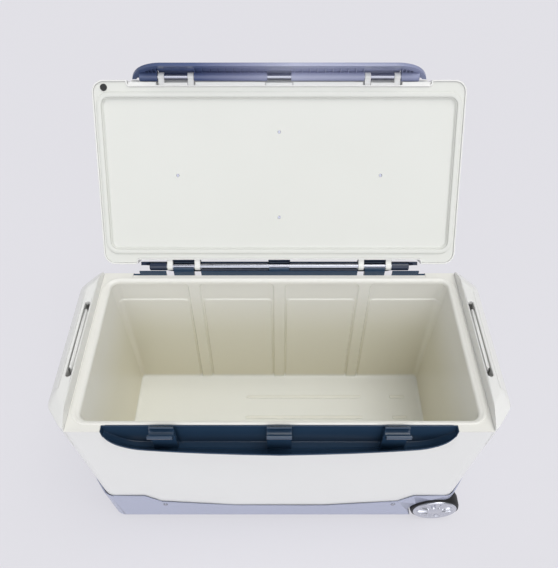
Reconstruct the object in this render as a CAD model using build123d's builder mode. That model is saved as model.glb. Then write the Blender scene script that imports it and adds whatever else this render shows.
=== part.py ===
from build123d import *
import os
from math import cos, radians, sin, tan

# Wheeled, insulated vaccine carrier with a lid that latches along both long sides.
# +X runs along the box towards the wheels, -Y is the front, +Z is up.
# The origin is on the ground under the middle of the box. Millimetres.

# Cavity and rim
opening_length = 660
opening_width = 298
opening_radius = 26
cavity_depth = 325
end_wall_draft = 6
long_wall_draft = 20
liner_wall = 2.5
rim_height = 405
rim_bead_width = 9
rim_bead_rise = 1.5

# Moulded panels of the two long cavity walls
rib_pitch = 170
rib_width = 20
panel_end_gap = 2
niche_depth = 4
niche_height = 43
niche_drop = 7
niche_base_gap = 3
field_depth = 1.6
field_groove = 4
panel_radius = 12
field_radius = 8
floor_rib_spacing = 52
floor_rib_shift = 4
floor_rib_x = 56
floor_rib_length = 270
short_rib_x = 272
short_rib_length = 34
floor_rib_width = 7
floor_rib_rise = 2.5

# Outer shell
body_length = 768
base_length = 736
body_width = 340
corner_cut_x = 32
corner_cut_y = 42
corner_radius = 24
shell_wall = 3
shell_floor_height = 60
seat_gap = 0.2

# End caps with the sliding carry handles
cap_base_height = 345
cap_rise = 23
cap_wall = 2.5
cap_bevel = 16
cap_inner_inset = 35.5
slot_length = 162
slot_width = 10
slot_wall = 2
slot_edge = 0.5
slot_collar_depth = 10
cover_length = 206
cover_gap = 0.3
handle_length = 126
handle_thickness = 5
handle_grip_height = 20
handle_sink = 2
handle_leg_width = 15
handle_leg_gap = 0.5
handle_leg_round = 3
handle_foot_reach = 26
handle_foot_height = 8

# Latch rails, claws, rods and levers
rail_length = 566
rail_bow_length = 482
rail_back_y = 158
rail_depth = 38
rail_shoulder_depth = 26
rail_end_depth = 13
rail_wall = 2.5
rail_floor_height = 349
rail_lip_height = 371
rail_bevel = 9
rail_pocket_gap = 0.4
rail_backing = 2
rod_spacing = 356
rod_rise = 12
rod_radius = 6
rod_length = 510
rod_gap = 0.1
claw_spacing = 189
claw_width = 40
claw_wall = 4.4
claw_mouth = 11.4
claw_stem = 15
claw_web = 3
claw_recess = 6
lug_width = 11
lug_gap = 0.5
window_gap = 1.5
lever_length = 544
lever_reach = 36
lever_lean = 33
lever_wall = 2.6
lever_bore_gap = 0.25
lever_hub_wall = 3.2
lever_tip_rise = 2
lever_curve = 3
lever_corner_radius = 38
lever_rib_rise = 4.5
lever_rib_pitch = 14
lever_rib_wall = 1.6
lever_rib_reach = 23
lever_window_drop = 17
lever_lug_drop = 11
lever_hub_lap = 1.5
hood_gap = 0.5
hood_wall = 2.2
hood_low = 5.5
hood_back = 6.5
hood_lap = 1

# Lid
lid_open_angle = 125.5
lid_length = 688
lid_width = 344
lid_height = 43
lid_radius = 22
lid_edge_bevel = 8
lid_recess_length = 556
lid_recess_depth = 9
lid_wall = 3
lid_edge_gap = 2.5
flange_gap = 5
panel_thickness = 6.5
panel_recess = 4
seal_length = 676
seal_width = 303
seal_band = 10
seal_groove = 2.3
seal_gap = 0.3
seal_radius = 24
seal_bevel = 1.2
lug_wall = 3.6
lug_foot = 7
rod_end_bevel = 1.5
vent_spread_x = 193
vent_spread_y = 80
vent_radius = 3
vent_rise = 0.8
bumper_radius = 6.5
bumper_rise = 2
bumper_inset_x = 22
bumper_inset_y = 13

# Base skirt, wheels and feet
skirt_bottom = 19
skirt_wall = 2
skirt_ledge = 2
skirt_floor = 3
skirt_mid_height = 71
skirt_break_height = 93
skirt_end_height = 124
skirt_slope_start = 90
skirt_break_x = 238
skirt_slope_end = 267
wheel_inset = 45
wheel_radius = 50
hub_radius = 43
wheel_width = 28
wheel_face_y = 173
wheel_gap = 6
wheel_side_gap = 2
wheel_boss_radius = 12
wheel_web = 4
axle_radius = 5
axle_gap = 0.1
axle_boss_radius = 9
axle_boss_length = 10
fender_wall = 2
tyre_crown = 2
tyre_shoulder = 5
tyre_lip = 2
hub_rim = 5
axle_inset = 7
cap_hollow = 1
wheel_cap_wall = 2
wheel_cap_rise = 4
spoke_count = 10
spoke_gap_inner = 15
spoke_gap_outer = 32
spoke_gap_narrow = 5
spoke_gap_wide = 12
foot_radius = 17
foot_top_radius = 20
foot_inset = 50
foot_y = 118
screw_radius = 5
screw_rise = 1.4
screw_inset = 136
screw_z = 80

# Drain
drain_height = 94
drain_bore_radius = 9
drain_tube_radius = 13
drain_flange_radius = 20
drain_flange = 2
drain_boss_margin = 4
drain_boss_rise = 1.2
drain_plug_head_radius = 16
drain_plug_head = 5
drain_plug_depth = 22
drain_grip_radius = 3
drain_plug_gap = 0.4
drain_grip_count = 8

# Places that follow from the sizes above
rod_y = rod_spacing / 2
rod_z = rim_height + rod_rise
floor_z = rim_height - cavity_depth
cap_top_height = rim_height + cap_rise
half_width = body_width / 2
cap_inner_x = body_length / 2 - cap_inner_inset
wheel_x = base_length / 2 - wheel_inset
foot_x = base_length / 2 - foot_inset
screw_x = base_length / 2 - screw_inset
draft_span = cap_top_height - cap_bevel - skirt_bottom
axle_z = wheel_radius


def body_length_at(z):
    """Overall length of the drafted body at a height."""
    return base_length + (body_length - base_length) * (z - skirt_bottom) / draft_span


def body_outline(z, grow=0):
    """Corners of the eight-sided body section at a height, grown outwards."""
    end_x = body_length_at(z) / 2 + grow
    front_y = half_width + grow
    cut_x = end_x - corner_cut_x
    cut_y = front_y - corner_cut_y
    right = [(end_x, -cut_y), (end_x, cut_y), (cut_x, front_y)]
    left = [(-cut_x, front_y), (-end_x, cut_y), (-end_x, -cut_y)]
    return right + left + [(-cut_x, -front_y), (cut_x, -front_y)]


def body_block(low, high, grow=0, bevel=0):
    """Drafted body solid between two heights, drawn in at its top by a bevel."""
    with BuildPart() as block:
        for z, inset in ((low, 0), (high, bevel)):
            with BuildSketch(Plane.XY.offset(z)):
                with BuildLine():
                    Polyline(*body_outline(z, grow - inset), close=True)
                outline = make_face()
                fillet(outline.vertices(), corner_radius + grow - inset)
        loft(ruled=True)
    return block.part


def cavity_block(low, grow_x, grow_y):
    """Drafted cavity solid from a height up to the rim, grown outwards."""
    share = (rim_height - low) / cavity_depth
    with BuildPart() as block:
        with BuildSketch(Plane.XY.offset(low)):
            RectangleRounded(
                opening_length - 2 * end_wall_draft * share + 2 * grow_x,
                opening_width - 2 * long_wall_draft * share + 2 * grow_y,
                opening_radius + grow_x,
            )
        with BuildSketch(Plane.XY.offset(rim_height)):
            RectangleRounded(
                opening_length + 2 * grow_x,
                opening_width + 2 * grow_y,
                opening_radius + grow_x,
            )
        loft(ruled=True)
    return block.part


def section(frame, side, x=0):
    """Plane across the box at x: local x points outwards on one side, local y points up."""
    return Plane(
        origin=frame.origin + frame.x_dir * x,
        x_dir=frame.y_dir * side,
        z_dir=frame.x_dir * side,
    )


def wheel_plane(side, y):
    """Plane facing outwards at one wheel, a distance from the middle of the box."""
    return Plane(origin=(wheel_x, side * y, axle_z), x_dir=(1, 0, 0), z_dir=(0, side, 0))


def wheel_drums(radius, inner_y):
    """Two drums on the wheel axis that reach out past both sides of the box."""
    with BuildPart() as drums:
        for side in (-1, 1):
            with BuildSketch(wheel_plane(side, inner_y)):
                Circle(radius)
            extrude(amount=body_width)
    return drums.part


def drain_drum(radius):
    """Straight drum through the left end wall at the drain."""
    with BuildPart() as drum:
        with BuildSketch(Plane.YZ.offset(-body_length)):
            with Locations((0, drain_height)):
                Circle(radius)
        extrude(amount=body_length)
    return drum.part


parts = []


def keep(build, name):
    """Names a finished sub-part and files it for export."""
    build.part.label = name
    parts.append(build.part)


# ---------------------------------------------------------------- inner liner
liner_outer_y = niche_depth + liner_wall
flat_end = opening_length / 2 - end_wall_draft - opening_radius - panel_end_gap
panel_ends = [(rib_width / 2, rib_pitch - rib_width / 2), (rib_pitch + rib_width / 2, flat_end)]
panels = [(hand * (low + high) / 2, high - low) for low, high in panel_ends for hand in (-1, 1)]
niche_low = floor_z + niche_base_gap
niche_top = rim_height - niche_drop
field_top = niche_top - niche_height
rail_notch_length = rail_length + 2 * rail_pocket_gap
rail_notch_y = rail_back_y - rail_pocket_gap

with BuildPart() as fields:
    with BuildSketch(Plane.XZ.offset(-body_width)):
        for panel_x, panel_width in panels:
            with Locations((panel_x, (field_top + floor_z) / 2 - field_radius)):
                RectangleRounded(
                    panel_width - 2 * field_groove,
                    field_top - floor_z + 2 * field_radius,
                    field_radius,
                )
    extrude(amount=2 * body_width)
    add(cavity_block(floor_z - liner_wall, 0, field_depth), mode=Mode.SUBTRACT)

with BuildPart() as niches:
    with BuildSketch(Plane.XZ.offset(-body_width)):
        for panel_x, panel_width in panels:
            with Locations((panel_x, (niche_top + niche_low) / 2)):
                RectangleRounded(panel_width, niche_top - niche_low, panel_radius)
    extrude(amount=2 * body_width)
    add(cavity_block(floor_z - liner_wall, 0, niche_depth), mode=Mode.INTERSECT)
    add(fields.part, mode=Mode.SUBTRACT)

with BuildPart() as inner_liner:
    add(cavity_block(floor_z - liner_wall, liner_wall, liner_outer_y))
    with BuildSketch(Plane.XY.offset(rim_height - liner_wall)):
        Rectangle(2 * cap_inner_x - 2 * seat_gap, body_width)
        with Locations((0, rail_notch_y + half_width), (0, -rail_notch_y - half_width)):
            Rectangle(rail_notch_length, body_width, mode=Mode.SUBTRACT)
    extrude(amount=liner_wall)
    with BuildSketch(Plane.XY.offset(rim_height)):
        RectangleRounded(
            opening_length + 2 * rim_bead_width,
            opening_width + 2 * rim_bead_width,
            opening_radius + rim_bead_width,
        )
    extrude(amount=rim_bead_rise)
    bead_edges = inner_liner.faces().sort_by(Axis.Z)[-1].edges()
    chamfer(bead_edges, rim_bead_rise * 0.9)
    with BuildSketch(Plane.XY.offset(rim_height)):
        RectangleRounded(opening_length, opening_width, opening_radius)
    extrude(amount=2 * rim_bead_rise, mode=Mode.SUBTRACT)
    add(cavity_block(floor_z, 0, 0), mode=Mode.SUBTRACT)
    add(niches.part, mode=Mode.SUBTRACT)
    with BuildSketch(Plane.XY.offset(floor_z)):
        for rib_x, rib_length in ((floor_rib_x, floor_rib_length), (short_rib_x, short_rib_length)):
            with Locations((rib_x, -floor_rib_shift)):
                with GridLocations(0, floor_rib_spacing, 1, 4):
                    SlotOverall(rib_length, floor_rib_width)
    extrude(amount=floor_rib_rise)
    add(drain_drum(drain_tube_radius + seat_gap), mode=Mode.SUBTRACT)
keep(inner_liner, "inner_liner")

# ---------------------------------------------------------------- outer shell
neck_length = 2 * cap_inner_x - 2 * seat_gap
shell_top = rim_height - liner_wall
rail_low = rail_floor_height - rail_wall
inner_low = shell_floor_height + shell_wall
inner_high = cap_base_height - shell_wall
backing_y = rail_notch_y - rail_backing
backing_z = rail_low - rail_pocket_gap - rail_backing
well_radius = wheel_radius + wheel_gap
well_inner_y = wheel_face_y - wheel_width - wheel_side_gap
fender_radius = well_radius + fender_wall
fender_inner_y = well_inner_y - fender_wall
housing_radius = fender_radius + seat_gap
housing_y = fender_inner_y - seat_gap
drain_x = -body_length_at(drain_height) / 2


with BuildPart() as wheel_housings:
    add(wheel_drums(housing_radius + shell_wall, housing_y - shell_wall))
    add(body_block(shell_floor_height, cap_base_height), mode=Mode.INTERSECT)

with BuildPart() as outer_shell:
    add(body_block(shell_floor_height, cap_base_height))
    with BuildSketch(Plane.XY.offset(cap_base_height)):
        Rectangle(neck_length, body_width)
    extrude(amount=shell_top - cap_base_height)
    add(body_block(inner_low, inner_high, -shell_wall), mode=Mode.SUBTRACT)
    with BuildSketch(Plane.XY.offset(inner_high)):
        Rectangle(neck_length - 2 * shell_wall, body_width - 2 * shell_wall)
    extrude(amount=body_width, mode=Mode.SUBTRACT)
    add(wheel_housings.part)
    add(wheel_drums(housing_radius, housing_y), mode=Mode.SUBTRACT)
    for side in (-1, 1):
        with BuildSketch(Plane.XY.offset(backing_z)):
            with Locations((0, side * (backing_y + half_width) / 2)):
                Rectangle(rail_notch_length + 2 * rail_backing, half_width - backing_y)
        extrude(amount=shell_top - backing_z)
        with BuildSketch(Plane.XY.offset(backing_z + rail_backing)):
            with Locations((0, side * (rail_notch_y + half_width))):
                Rectangle(rail_notch_length, body_width)
        extrude(amount=body_width, mode=Mode.SUBTRACT)
    add(drain_drum(drain_tube_radius + seat_gap), mode=Mode.SUBTRACT)
keep(outer_shell, "outer_shell")

# ---------------------------------------------------------------- insulation
foam_wall = shell_wall + seat_gap
foam_side_y = backing_y - seat_gap
with BuildPart() as body_foam:
    add(body_block(inner_low + seat_gap, inner_high - seat_gap, -foam_wall))
    with BuildSketch(Plane.XY.offset(inner_high - seat_gap)):
        Rectangle(neck_length - 2 * foam_wall, body_width - 2 * foam_wall)
    extrude(amount=shell_top - inner_high)
    for side in (-1, 1):
        with BuildSketch(Plane.XY.offset(backing_z - seat_gap)):
            with Locations((0, side * (foam_side_y + half_width))):
                Rectangle(rail_notch_length + 2 * (rail_backing + seat_gap), body_width)
        extrude(amount=body_width, mode=Mode.SUBTRACT)
    add(
        cavity_block(
            floor_z - liner_wall - seat_gap,
            liner_wall + seat_gap,
            liner_outer_y + seat_gap,
        ),
        mode=Mode.SUBTRACT,
    )
    add(
        wheel_drums(housing_radius + foam_wall, housing_y - foam_wall),
        mode=Mode.SUBTRACT,
    )
    add(drain_drum(drain_tube_radius + seat_gap), mode=Mode.SUBTRACT)
keep(body_foam, "body_foam")

# ---------------------------------------------------------------- base skirt
skirt_face = skirt_wall + seat_gap
boss_x = drain_x - skirt_face - drain_boss_rise

with BuildPart() as fenders:
    add(wheel_drums(fender_radius, fender_inner_y))
    add(body_block(skirt_bottom, skirt_end_height, skirt_face), mode=Mode.INTERSECT)

with BuildPart() as base_skirt:
    add(body_block(skirt_bottom, skirt_end_height, skirt_face))
    with BuildSketch(Plane.XZ.offset(-body_width)):
        with BuildLine():
            Polyline(
                (-skirt_slope_end, skirt_end_height + 1),
                (-skirt_slope_end, skirt_end_height),
                (-skirt_break_x, skirt_break_height),
                (-skirt_slope_start, skirt_mid_height),
                (skirt_slope_start, skirt_mid_height),
                (skirt_break_x, skirt_break_height),
                (skirt_slope_end, skirt_end_height),
                (skirt_slope_end, skirt_end_height + 1),
                close=True,
            )
        make_face()
    extrude(amount=2 * body_width, mode=Mode.SUBTRACT)
    with BuildSketch(Plane.YZ.offset(drain_x)):
        with Locations((0, drain_height)):
            Circle(drain_flange_radius + drain_boss_margin)
    extrude(amount=boss_x - drain_x)
    add(
        body_block(shell_floor_height - seat_gap, skirt_end_height + 1, seat_gap),
        mode=Mode.SUBTRACT,
    )
    add(
        body_block(skirt_bottom + skirt_floor, shell_floor_height, -skirt_ledge),
        mode=Mode.SUBTRACT,
    )
    add(fenders.part)
    for side in (-1, 1):
        with BuildSketch(wheel_plane(side, fender_inner_y - axle_boss_length)):
            Circle(axle_boss_radius)
        extrude(amount=axle_boss_length)
    add(wheel_drums(well_radius, well_inner_y), mode=Mode.SUBTRACT)
    with BuildSketch(Plane.XZ.offset(-body_width)):
        with Locations((wheel_x, axle_z)):
            Circle(axle_radius + axle_gap)
    extrude(amount=2 * body_width, mode=Mode.SUBTRACT)
    add(drain_drum(drain_tube_radius + seat_gap), mode=Mode.SUBTRACT)
keep(base_skirt, "base_skirt")

with BuildPart() as base_feet:
    for side in (-1, 1):
        with BuildSketch(Plane.XY):
            with Locations((-foot_x, side * foot_y)):
                Circle(foot_radius)
        with BuildSketch(Plane.XY.offset(skirt_bottom)):
            with Locations((-foot_x, side * foot_y)):
                Circle(foot_top_radius)
        loft()
keep(base_feet, "base_feet")

with BuildPart() as skirt_screws:
    for side in (-1, 1):
        screw_plane = Plane.XZ.offset(-side * (half_width + skirt_face))
        with BuildSketch(screw_plane):
            with Locations((-screw_x, screw_z), (screw_x, screw_z)):
                Circle(screw_radius)
        extrude(amount=-side * screw_rise, taper=30)
keep(skirt_screws, "skirt_screws")

# ---------------------------------------------------------------- wheels and axle
with BuildPart() as wheel_axle:
    axle_half = wheel_face_y - axle_inset
    with BuildSketch(Plane.XZ.offset(-axle_half)):
        with Locations((wheel_x, axle_z)):
            Circle(axle_radius)
    extrude(amount=2 * axle_half)
keep(wheel_axle, "wheel_axle")

bore_radius = axle_radius + axle_gap
wheel_names = {-1: "front", 1: "rear"}
for side, wheel_name in wheel_names.items():
    wheel_back = wheel_face_y - wheel_width
    with BuildPart() as tyre:
        with BuildSketch(
            Plane(
                origin=(wheel_x, 0, axle_z),
                x_dir=(1, 0, 0),
                z_dir=(0, 0, 1),
            )
        ):
            with BuildLine():
                low_y = side * wheel_back
                high_y = side * (wheel_back + wheel_width)
                shoulder = side * tyre_shoulder
                Polyline(
                    (hub_radius, low_y),
                    (wheel_radius - tyre_crown, low_y),
                    (wheel_radius, low_y + shoulder),
                    (wheel_radius, high_y - shoulder),
                    (wheel_radius - tyre_crown, high_y),
                    (hub_radius, high_y),
                    close=True,
                )
            make_face()
        revolve(axis=Axis((wheel_x, 0, axle_z), (0, 1, 0)))
    keep(tyre, f"tyre_{wheel_name}")

    hub_face = wheel_width - wheel_cap_wall - seat_gap
    with BuildPart() as hub:
        with BuildSketch(wheel_plane(side, wheel_back + tyre_lip)):
            Circle(hub_radius)
            Circle(hub_radius - hub_rim, mode=Mode.SUBTRACT)
        extrude(amount=hub_face - tyre_lip)
        with BuildSketch(wheel_plane(side, wheel_back + wheel_width / 2)):
            Circle(hub_radius - hub_rim / 2)
        extrude(amount=wheel_web)
        with BuildSketch(wheel_plane(side, wheel_back)):
            Circle(wheel_boss_radius)
        extrude(amount=hub_face - cap_hollow)
        with BuildSketch(wheel_plane(side, wheel_back)):
            Circle(bore_radius)
        extrude(amount=wheel_width, mode=Mode.SUBTRACT)
    keep(hub, f"wheel_hub_{wheel_name}")

    with BuildPart() as wheel_cap:
        with BuildSketch(wheel_plane(side, wheel_face_y - wheel_cap_wall)):
            Circle(hub_radius - seat_gap)
        extrude(amount=wheel_cap_wall)
        with BuildSketch(wheel_plane(side, wheel_face_y)):
            Circle(hub_radius - hub_rim)
        extrude(amount=wheel_cap_rise, taper=50)
        with BuildSketch(wheel_plane(side, wheel_face_y - wheel_cap_wall)):
            with PolarLocations(0, spoke_count):
                with BuildLine():
                    Polyline(
                        (spoke_gap_inner, -spoke_gap_narrow / 2),
                        (spoke_gap_outer, -spoke_gap_wide / 2),
                        (spoke_gap_outer, spoke_gap_wide / 2),
                        (spoke_gap_inner, spoke_gap_narrow / 2),
                        close=True,
                    )
                make_face()
        extrude(amount=wheel_cap_wall + wheel_cap_rise, mode=Mode.SUBTRACT)
    keep(wheel_cap, f"wheel_cap_{wheel_name}")

# ---------------------------------------------------------------- drain
with BuildPart() as drain_spout:
    spout_in = -(opening_length / 2 - end_wall_draft)
    with BuildSketch(Plane.YZ.offset(boss_x)):
        with Locations((0, drain_height)):
            Circle(drain_tube_radius)
    extrude(amount=spout_in - liner_wall / 2 - boss_x)
    with BuildSketch(Plane.YZ.offset(boss_x)):
        with Locations((0, drain_height)):
            Circle(drain_flange_radius)
    extrude(amount=-drain_flange)
    with BuildSketch(Plane.YZ.offset(boss_x - drain_flange)):
        with Locations((0, drain_height)):
            Circle(drain_bore_radius)
    extrude(amount=body_length / 4, mode=Mode.SUBTRACT)
keep(drain_spout, "drain_spout")

plug_x = boss_x - drain_flange - seat_gap
with BuildPart() as drain_plug:
    with BuildSketch(Plane.YZ.offset(plug_x)):
        with Locations((0, drain_height)):
            Circle(drain_bore_radius - drain_plug_gap)
    extrude(amount=drain_plug_depth)
    with BuildSketch(Plane.YZ.offset(plug_x)):
        with Locations((0, drain_height)):
            Circle(drain_plug_head_radius)
            with PolarLocations(drain_plug_head_radius, drain_grip_count):
                Circle(drain_grip_radius, mode=Mode.SUBTRACT)
    extrude(amount=-drain_plug_head)
keep(drain_plug, "drain_plug")

# ---------------------------------------------------------------- latch rails
claw_outer = rod_radius + rod_gap + claw_wall
claw_places = (-claw_spacing, 0, claw_spacing)
half_rail = rail_length / 2
half_bow = rail_bow_length / 2
rail_end_y = rail_back_y + rail_end_depth
rail_shoulder_y = rail_back_y + rail_shoulder_depth

with BuildSketch(Plane.XY) as rail_outline:
    with BuildLine():
        ThreePointArc(
            (half_bow, rail_shoulder_y),
            (0, rail_back_y + rail_depth),
            (-half_bow, rail_shoulder_y),
        )
        Polyline(
            (-half_bow, rail_shoulder_y),
            (-half_rail, rail_end_y),
            (-half_rail, rail_back_y),
            (half_rail, rail_back_y),
            (half_rail, rail_end_y),
            (half_bow, rail_shoulder_y),
        )
    make_face()

with BuildPart() as rear_hook_rail:
    with BuildSketch(Plane.XY.offset(rail_low)):
        add(rail_outline.sketch)
    extrude(amount=rail_lip_height - rail_low)
    low_edges = rear_hook_rail.faces().sort_by(Axis.Z)[0].edges()
    chamfer(low_edges.sort_by(Axis.Y)[1:], rail_bevel)
    with BuildSketch(Plane.XY.offset(rail_floor_height)):
        offset(rail_outline.sketch, -rail_wall, kind=Kind.INTERSECTION)
    extrude(amount=rail_lip_height, mode=Mode.SUBTRACT)
    with BuildSketch(Plane.XY.offset(rail_floor_height)):
        with Locations((0, rail_back_y + rail_wall / 2)):
            Rectangle(rail_length, rail_wall)
    extrude(amount=rim_height - rail_floor_height)
    for end in (-half_rail, half_rail - rail_wall):
        with BuildSketch(section(Plane.XY, 1, end)):
            with BuildLine():
                Polyline(
                    (rail_back_y, rail_floor_height),
                    (rail_end_y, rail_floor_height),
                    (rail_end_y, rail_lip_height),
                    (rail_back_y + rail_wall, rim_height),
                    (rail_back_y, rim_height),
                    close=True,
                )
            make_face()
        extrude(amount=rail_wall)
    for place in claw_places:
        with BuildSketch(section(Plane.XY, 1, place - claw_width / 2)):
            with Locations((rod_y, (rail_floor_height + rod_z) / 2)):
                Rectangle(claw_stem, rod_z - rail_floor_height)
            with Locations((rod_y, rod_z)):
                Circle(claw_outer)
                Circle(rod_radius + rod_gap, mode=Mode.SUBTRACT)
            with Locations((rod_y, rod_z + claw_outer / 2)):
                Rectangle(claw_mouth, claw_outer, mode=Mode.SUBTRACT)
        extrude(amount=claw_width)
        for hand in (-1, 1):
            recess_x = place + hand * (claw_width / 2 - claw_recess)
            with BuildSketch(section(Plane.XY, 1, recess_x)):
                with Locations((rod_y, (rail_floor_height + rod_z - claw_outer) / 2)):
                    Rectangle(
                        claw_stem - 2 * claw_web,
                        rod_z - claw_outer - rail_floor_height - 2 * claw_web,
                    )
            extrude(amount=hand * claw_recess, mode=Mode.SUBTRACT)
keep(rear_hook_rail, "rear_hook_rail")

with BuildPart() as front_hook_rail:
    add(mirror(rear_hook_rail.part, about=Plane.XZ))
keep(front_hook_rail, "front_hook_rail")

# ---------------------------------------------------------------- lid
# The lid is drawn shut and its frame carries the drawing to where the open lid stands.
turn = radians(lid_open_angle)
lid_frame = Plane(
    origin=(
        0,
        rod_y - rod_y * cos(turn) - rod_z * sin(turn),
        rod_z + rod_y * sin(turn) - rod_z * cos(turn),
    ),
    x_dir=(1, 0, 0),
    z_dir=(0, sin(turn), cos(turn)),
)
lid_low = rim_height + lid_edge_gap
lid_top = rim_height + lid_height
flange_z = rim_height + flange_gap
seal_low = rim_height + rim_bead_rise + seal_gap
recess_y = lid_width / 2 - lid_recess_depth
lug_outer = rod_radius + lug_wall
lug_reach = claw_width / 2 + window_gap + lug_width / 2
lug_places = [
    middle + hand * lug_reach for middle in (-claw_spacing, claw_spacing) for hand in (-1, 1)
]


def lid_outline(inset):
    """Lid outline with its latch recesses, drawn on the current plane."""
    with BuildSketch(Plane.XY) as outline:
        RectangleRounded(lid_length - 2 * inset, lid_width - 2 * inset, lid_radius - inset)
        for side in (-1, 1):
            with Locations((0, side * (recess_y - inset + lid_width / 2))):
                Rectangle(lid_recess_length + 2 * inset, lid_width, mode=Mode.SUBTRACT)
    return outline.sketch


lid_axis = Axis(lid_frame.origin, lid_frame.z_dir)
vent_places = [
    (0, -vent_spread_y),
    (0, vent_spread_y),
    (-vent_spread_x, 0),
    (vent_spread_x, 0),
]


def lid_body(low, high, inset):
    """Lid-shaped solid between two heights of the shut lid."""
    with BuildPart() as block:
        with BuildSketch(lid_frame.offset(low)):
            add(lid_outline(inset))
        extrude(amount=high - low)
    return block.part


with BuildPart() as lid_outer_shell:
    add(lid_body(lid_low, lid_top, 0))
    top_face = lid_outer_shell.faces().sort_by(lid_axis)[-1]
    chamfer(top_face.edges(), lid_edge_bevel)
    add(lid_body(lid_low, lid_top - lid_edge_bevel, lid_wall), mode=Mode.SUBTRACT)
    inner_bevel_z = lid_top - lid_edge_bevel
    add(
        lid_body(inner_bevel_z, lid_top - lid_wall, lid_wall + lid_edge_bevel),
        mode=Mode.SUBTRACT,
    )
    for side in (-1, 1):
        for place in lug_places:
            with BuildSketch(section(lid_frame, side, place - side * lug_width / 2)):
                with Locations((rod_y, rod_z)):
                    Circle(lug_outer)
                with Locations(((recess_y + rod_y) / 2, rod_z)):
                    Rectangle(rod_y - recess_y, 2 * lug_foot)
                with Locations((rod_y, rod_z)):
                    Circle(rod_radius + rod_gap, mode=Mode.SUBTRACT)
            extrude(amount=lug_width)
keep(lid_outer_shell, "lid_outer_shell")

panel_gap = lid_wall + seat_gap
with BuildPart() as lid_inner_panel:
    add(lid_body(flange_z, flange_z + panel_thickness, panel_gap))
    with BuildSketch(lid_frame.offset(flange_z)):
        RectangleRounded(seal_length, seal_width, seal_radius)
    extrude(amount=seal_groove, mode=Mode.SUBTRACT)
    with BuildSketch(lid_frame.offset(flange_z)):
        RectangleRounded(
            seal_length - 2 * seal_band,
            seal_width - 2 * seal_band,
            seal_radius - seal_band,
        )
    extrude(amount=panel_recess, mode=Mode.SUBTRACT)
    with BuildSketch(lid_frame.offset(flange_z)):
        with Locations(*vent_places):
            Circle(vent_radius + seat_gap)
    extrude(amount=panel_thickness, mode=Mode.SUBTRACT)
keep(lid_inner_panel, "lid_inner_panel")

with BuildPart() as lid_seal:
    with BuildSketch(lid_frame.offset(seal_low)):
        RectangleRounded(seal_length - 2 * seat_gap, seal_width - 2 * seat_gap, seal_radius)
        RectangleRounded(
            seal_length - 2 * seal_band,
            seal_width - 2 * seal_band,
            seal_radius - seal_band,
            mode=Mode.SUBTRACT,
        )
    extrude(amount=flange_z + seal_groove - seal_low)
    low_face = lid_seal.faces().sort_by(lid_axis)[0]
    chamfer(low_face.edges(), seal_bevel)
keep(lid_seal, "lid_seal")

with BuildPart() as lid_foam:
    foam_low = flange_z + panel_thickness + seat_gap
    add(lid_body(foam_low, inner_bevel_z - seat_gap, panel_gap))
keep(lid_foam, "lid_foam")

with BuildPart() as lid_vent_plugs:
    with BuildSketch(lid_frame.offset(flange_z + panel_recess - vent_rise)):
        with Locations(*vent_places):
            Circle(vent_radius)
    extrude(amount=panel_thickness - panel_recess + vent_rise)
keep(lid_vent_plugs, "lid_vent_plugs")

with BuildPart() as lid_bumper:
    with BuildSketch(lid_frame.offset(flange_z)):
        with Locations((bumper_inset_x - lid_length / 2, bumper_inset_y - lid_width / 2)):
            Circle(bumper_radius)
    extrude(amount=-bumper_rise, taper=25)
keep(lid_bumper, "lid_bumper")

for side, rod_name in ((-1, "front"), (1, "rear")):
    with BuildPart() as lid_rod:
        with BuildSketch(section(lid_frame, side, -side * rod_length / 2)):
            with Locations((rod_y, rod_z)):
                Circle(rod_radius)
        extrude(amount=rod_length)
        chamfer(lid_rod.edges().filter_by(GeomType.CIRCLE), rod_end_bevel)
    keep(lid_rod, f"lid_rod_{rod_name}")

# ---------------------------------------------------------------- latch levers
hub_outer = rod_radius + lever_bore_gap + lever_hub_wall
lean = radians(lever_lean)
half_lever = lever_length / 2
blade_depth = lever_wall + lever_rib_rise
blade_mid = (lever_reach / 2, (hub_outer + lever_tip_rise) / 2 + lever_curve)
window_width = claw_width + 2 * window_gap
hood_inner = claw_outer + hood_gap
lug_zone_width = 2 * (lug_reach + lug_width / 2 + lug_gap)
bare_rod_length = 2 * claw_spacing - lug_zone_width
rib_places = [
    n * lever_rib_pitch
    for n in range(-int(half_lever / lever_rib_pitch), int(half_lever / lever_rib_pitch) + 1)
]


def lever_plane(frame, side, x=0):
    """Section of a lever at its rod: local x runs down the blade, local y outwards."""
    flat = section(frame, side, x)
    return Plane(
        origin=flat.from_local_coords((rod_y, rod_z)),
        x_dir=flat.x_dir * sin(lean) - flat.y_dir * cos(lean),
        z_dir=flat.z_dir,
    )


def blade_section(top, bottom):
    """Section of the bowed blade between two depths under its outer face."""
    with BuildSketch(Plane.XY) as band:
        with BuildLine():
            ThreePointArc(
                (0, hub_outer - top),
                (blade_mid[0], blade_mid[1] - top),
                (lever_reach, lever_tip_rise - top),
            )
            Line((lever_reach, lever_tip_rise - top), (lever_reach, lever_tip_rise - bottom))
            ThreePointArc(
                (lever_reach, lever_tip_rise - bottom),
                (blade_mid[0], blade_mid[1] - bottom),
                (0, hub_outer - bottom),
            )
            Line((0, hub_outer - bottom), (0, hub_outer - top))
        make_face()
    return band.sketch


def lever_prism(frame, side, inset):
    """Outline of a lever, round at its two free corners, as a thick plate."""
    middle = lever_plane(frame, side)
    face = Plane(origin=middle.origin, x_dir=middle.z_dir, z_dir=middle.y_dir)
    with BuildPart() as prism:
        with BuildSketch(face.offset(-lever_reach)) as outline:
            with Locations((0, (lever_reach - inset - hub_outer) / 2)):
                Rectangle(lever_length - 2 * inset, lever_reach - inset + hub_outer)
            tips = outline.vertices().sort_by(Axis.Y)[-2:]
            fillet(tips, lever_corner_radius - inset)
        extrude(amount=2 * lever_reach)
    return prism.part


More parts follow.
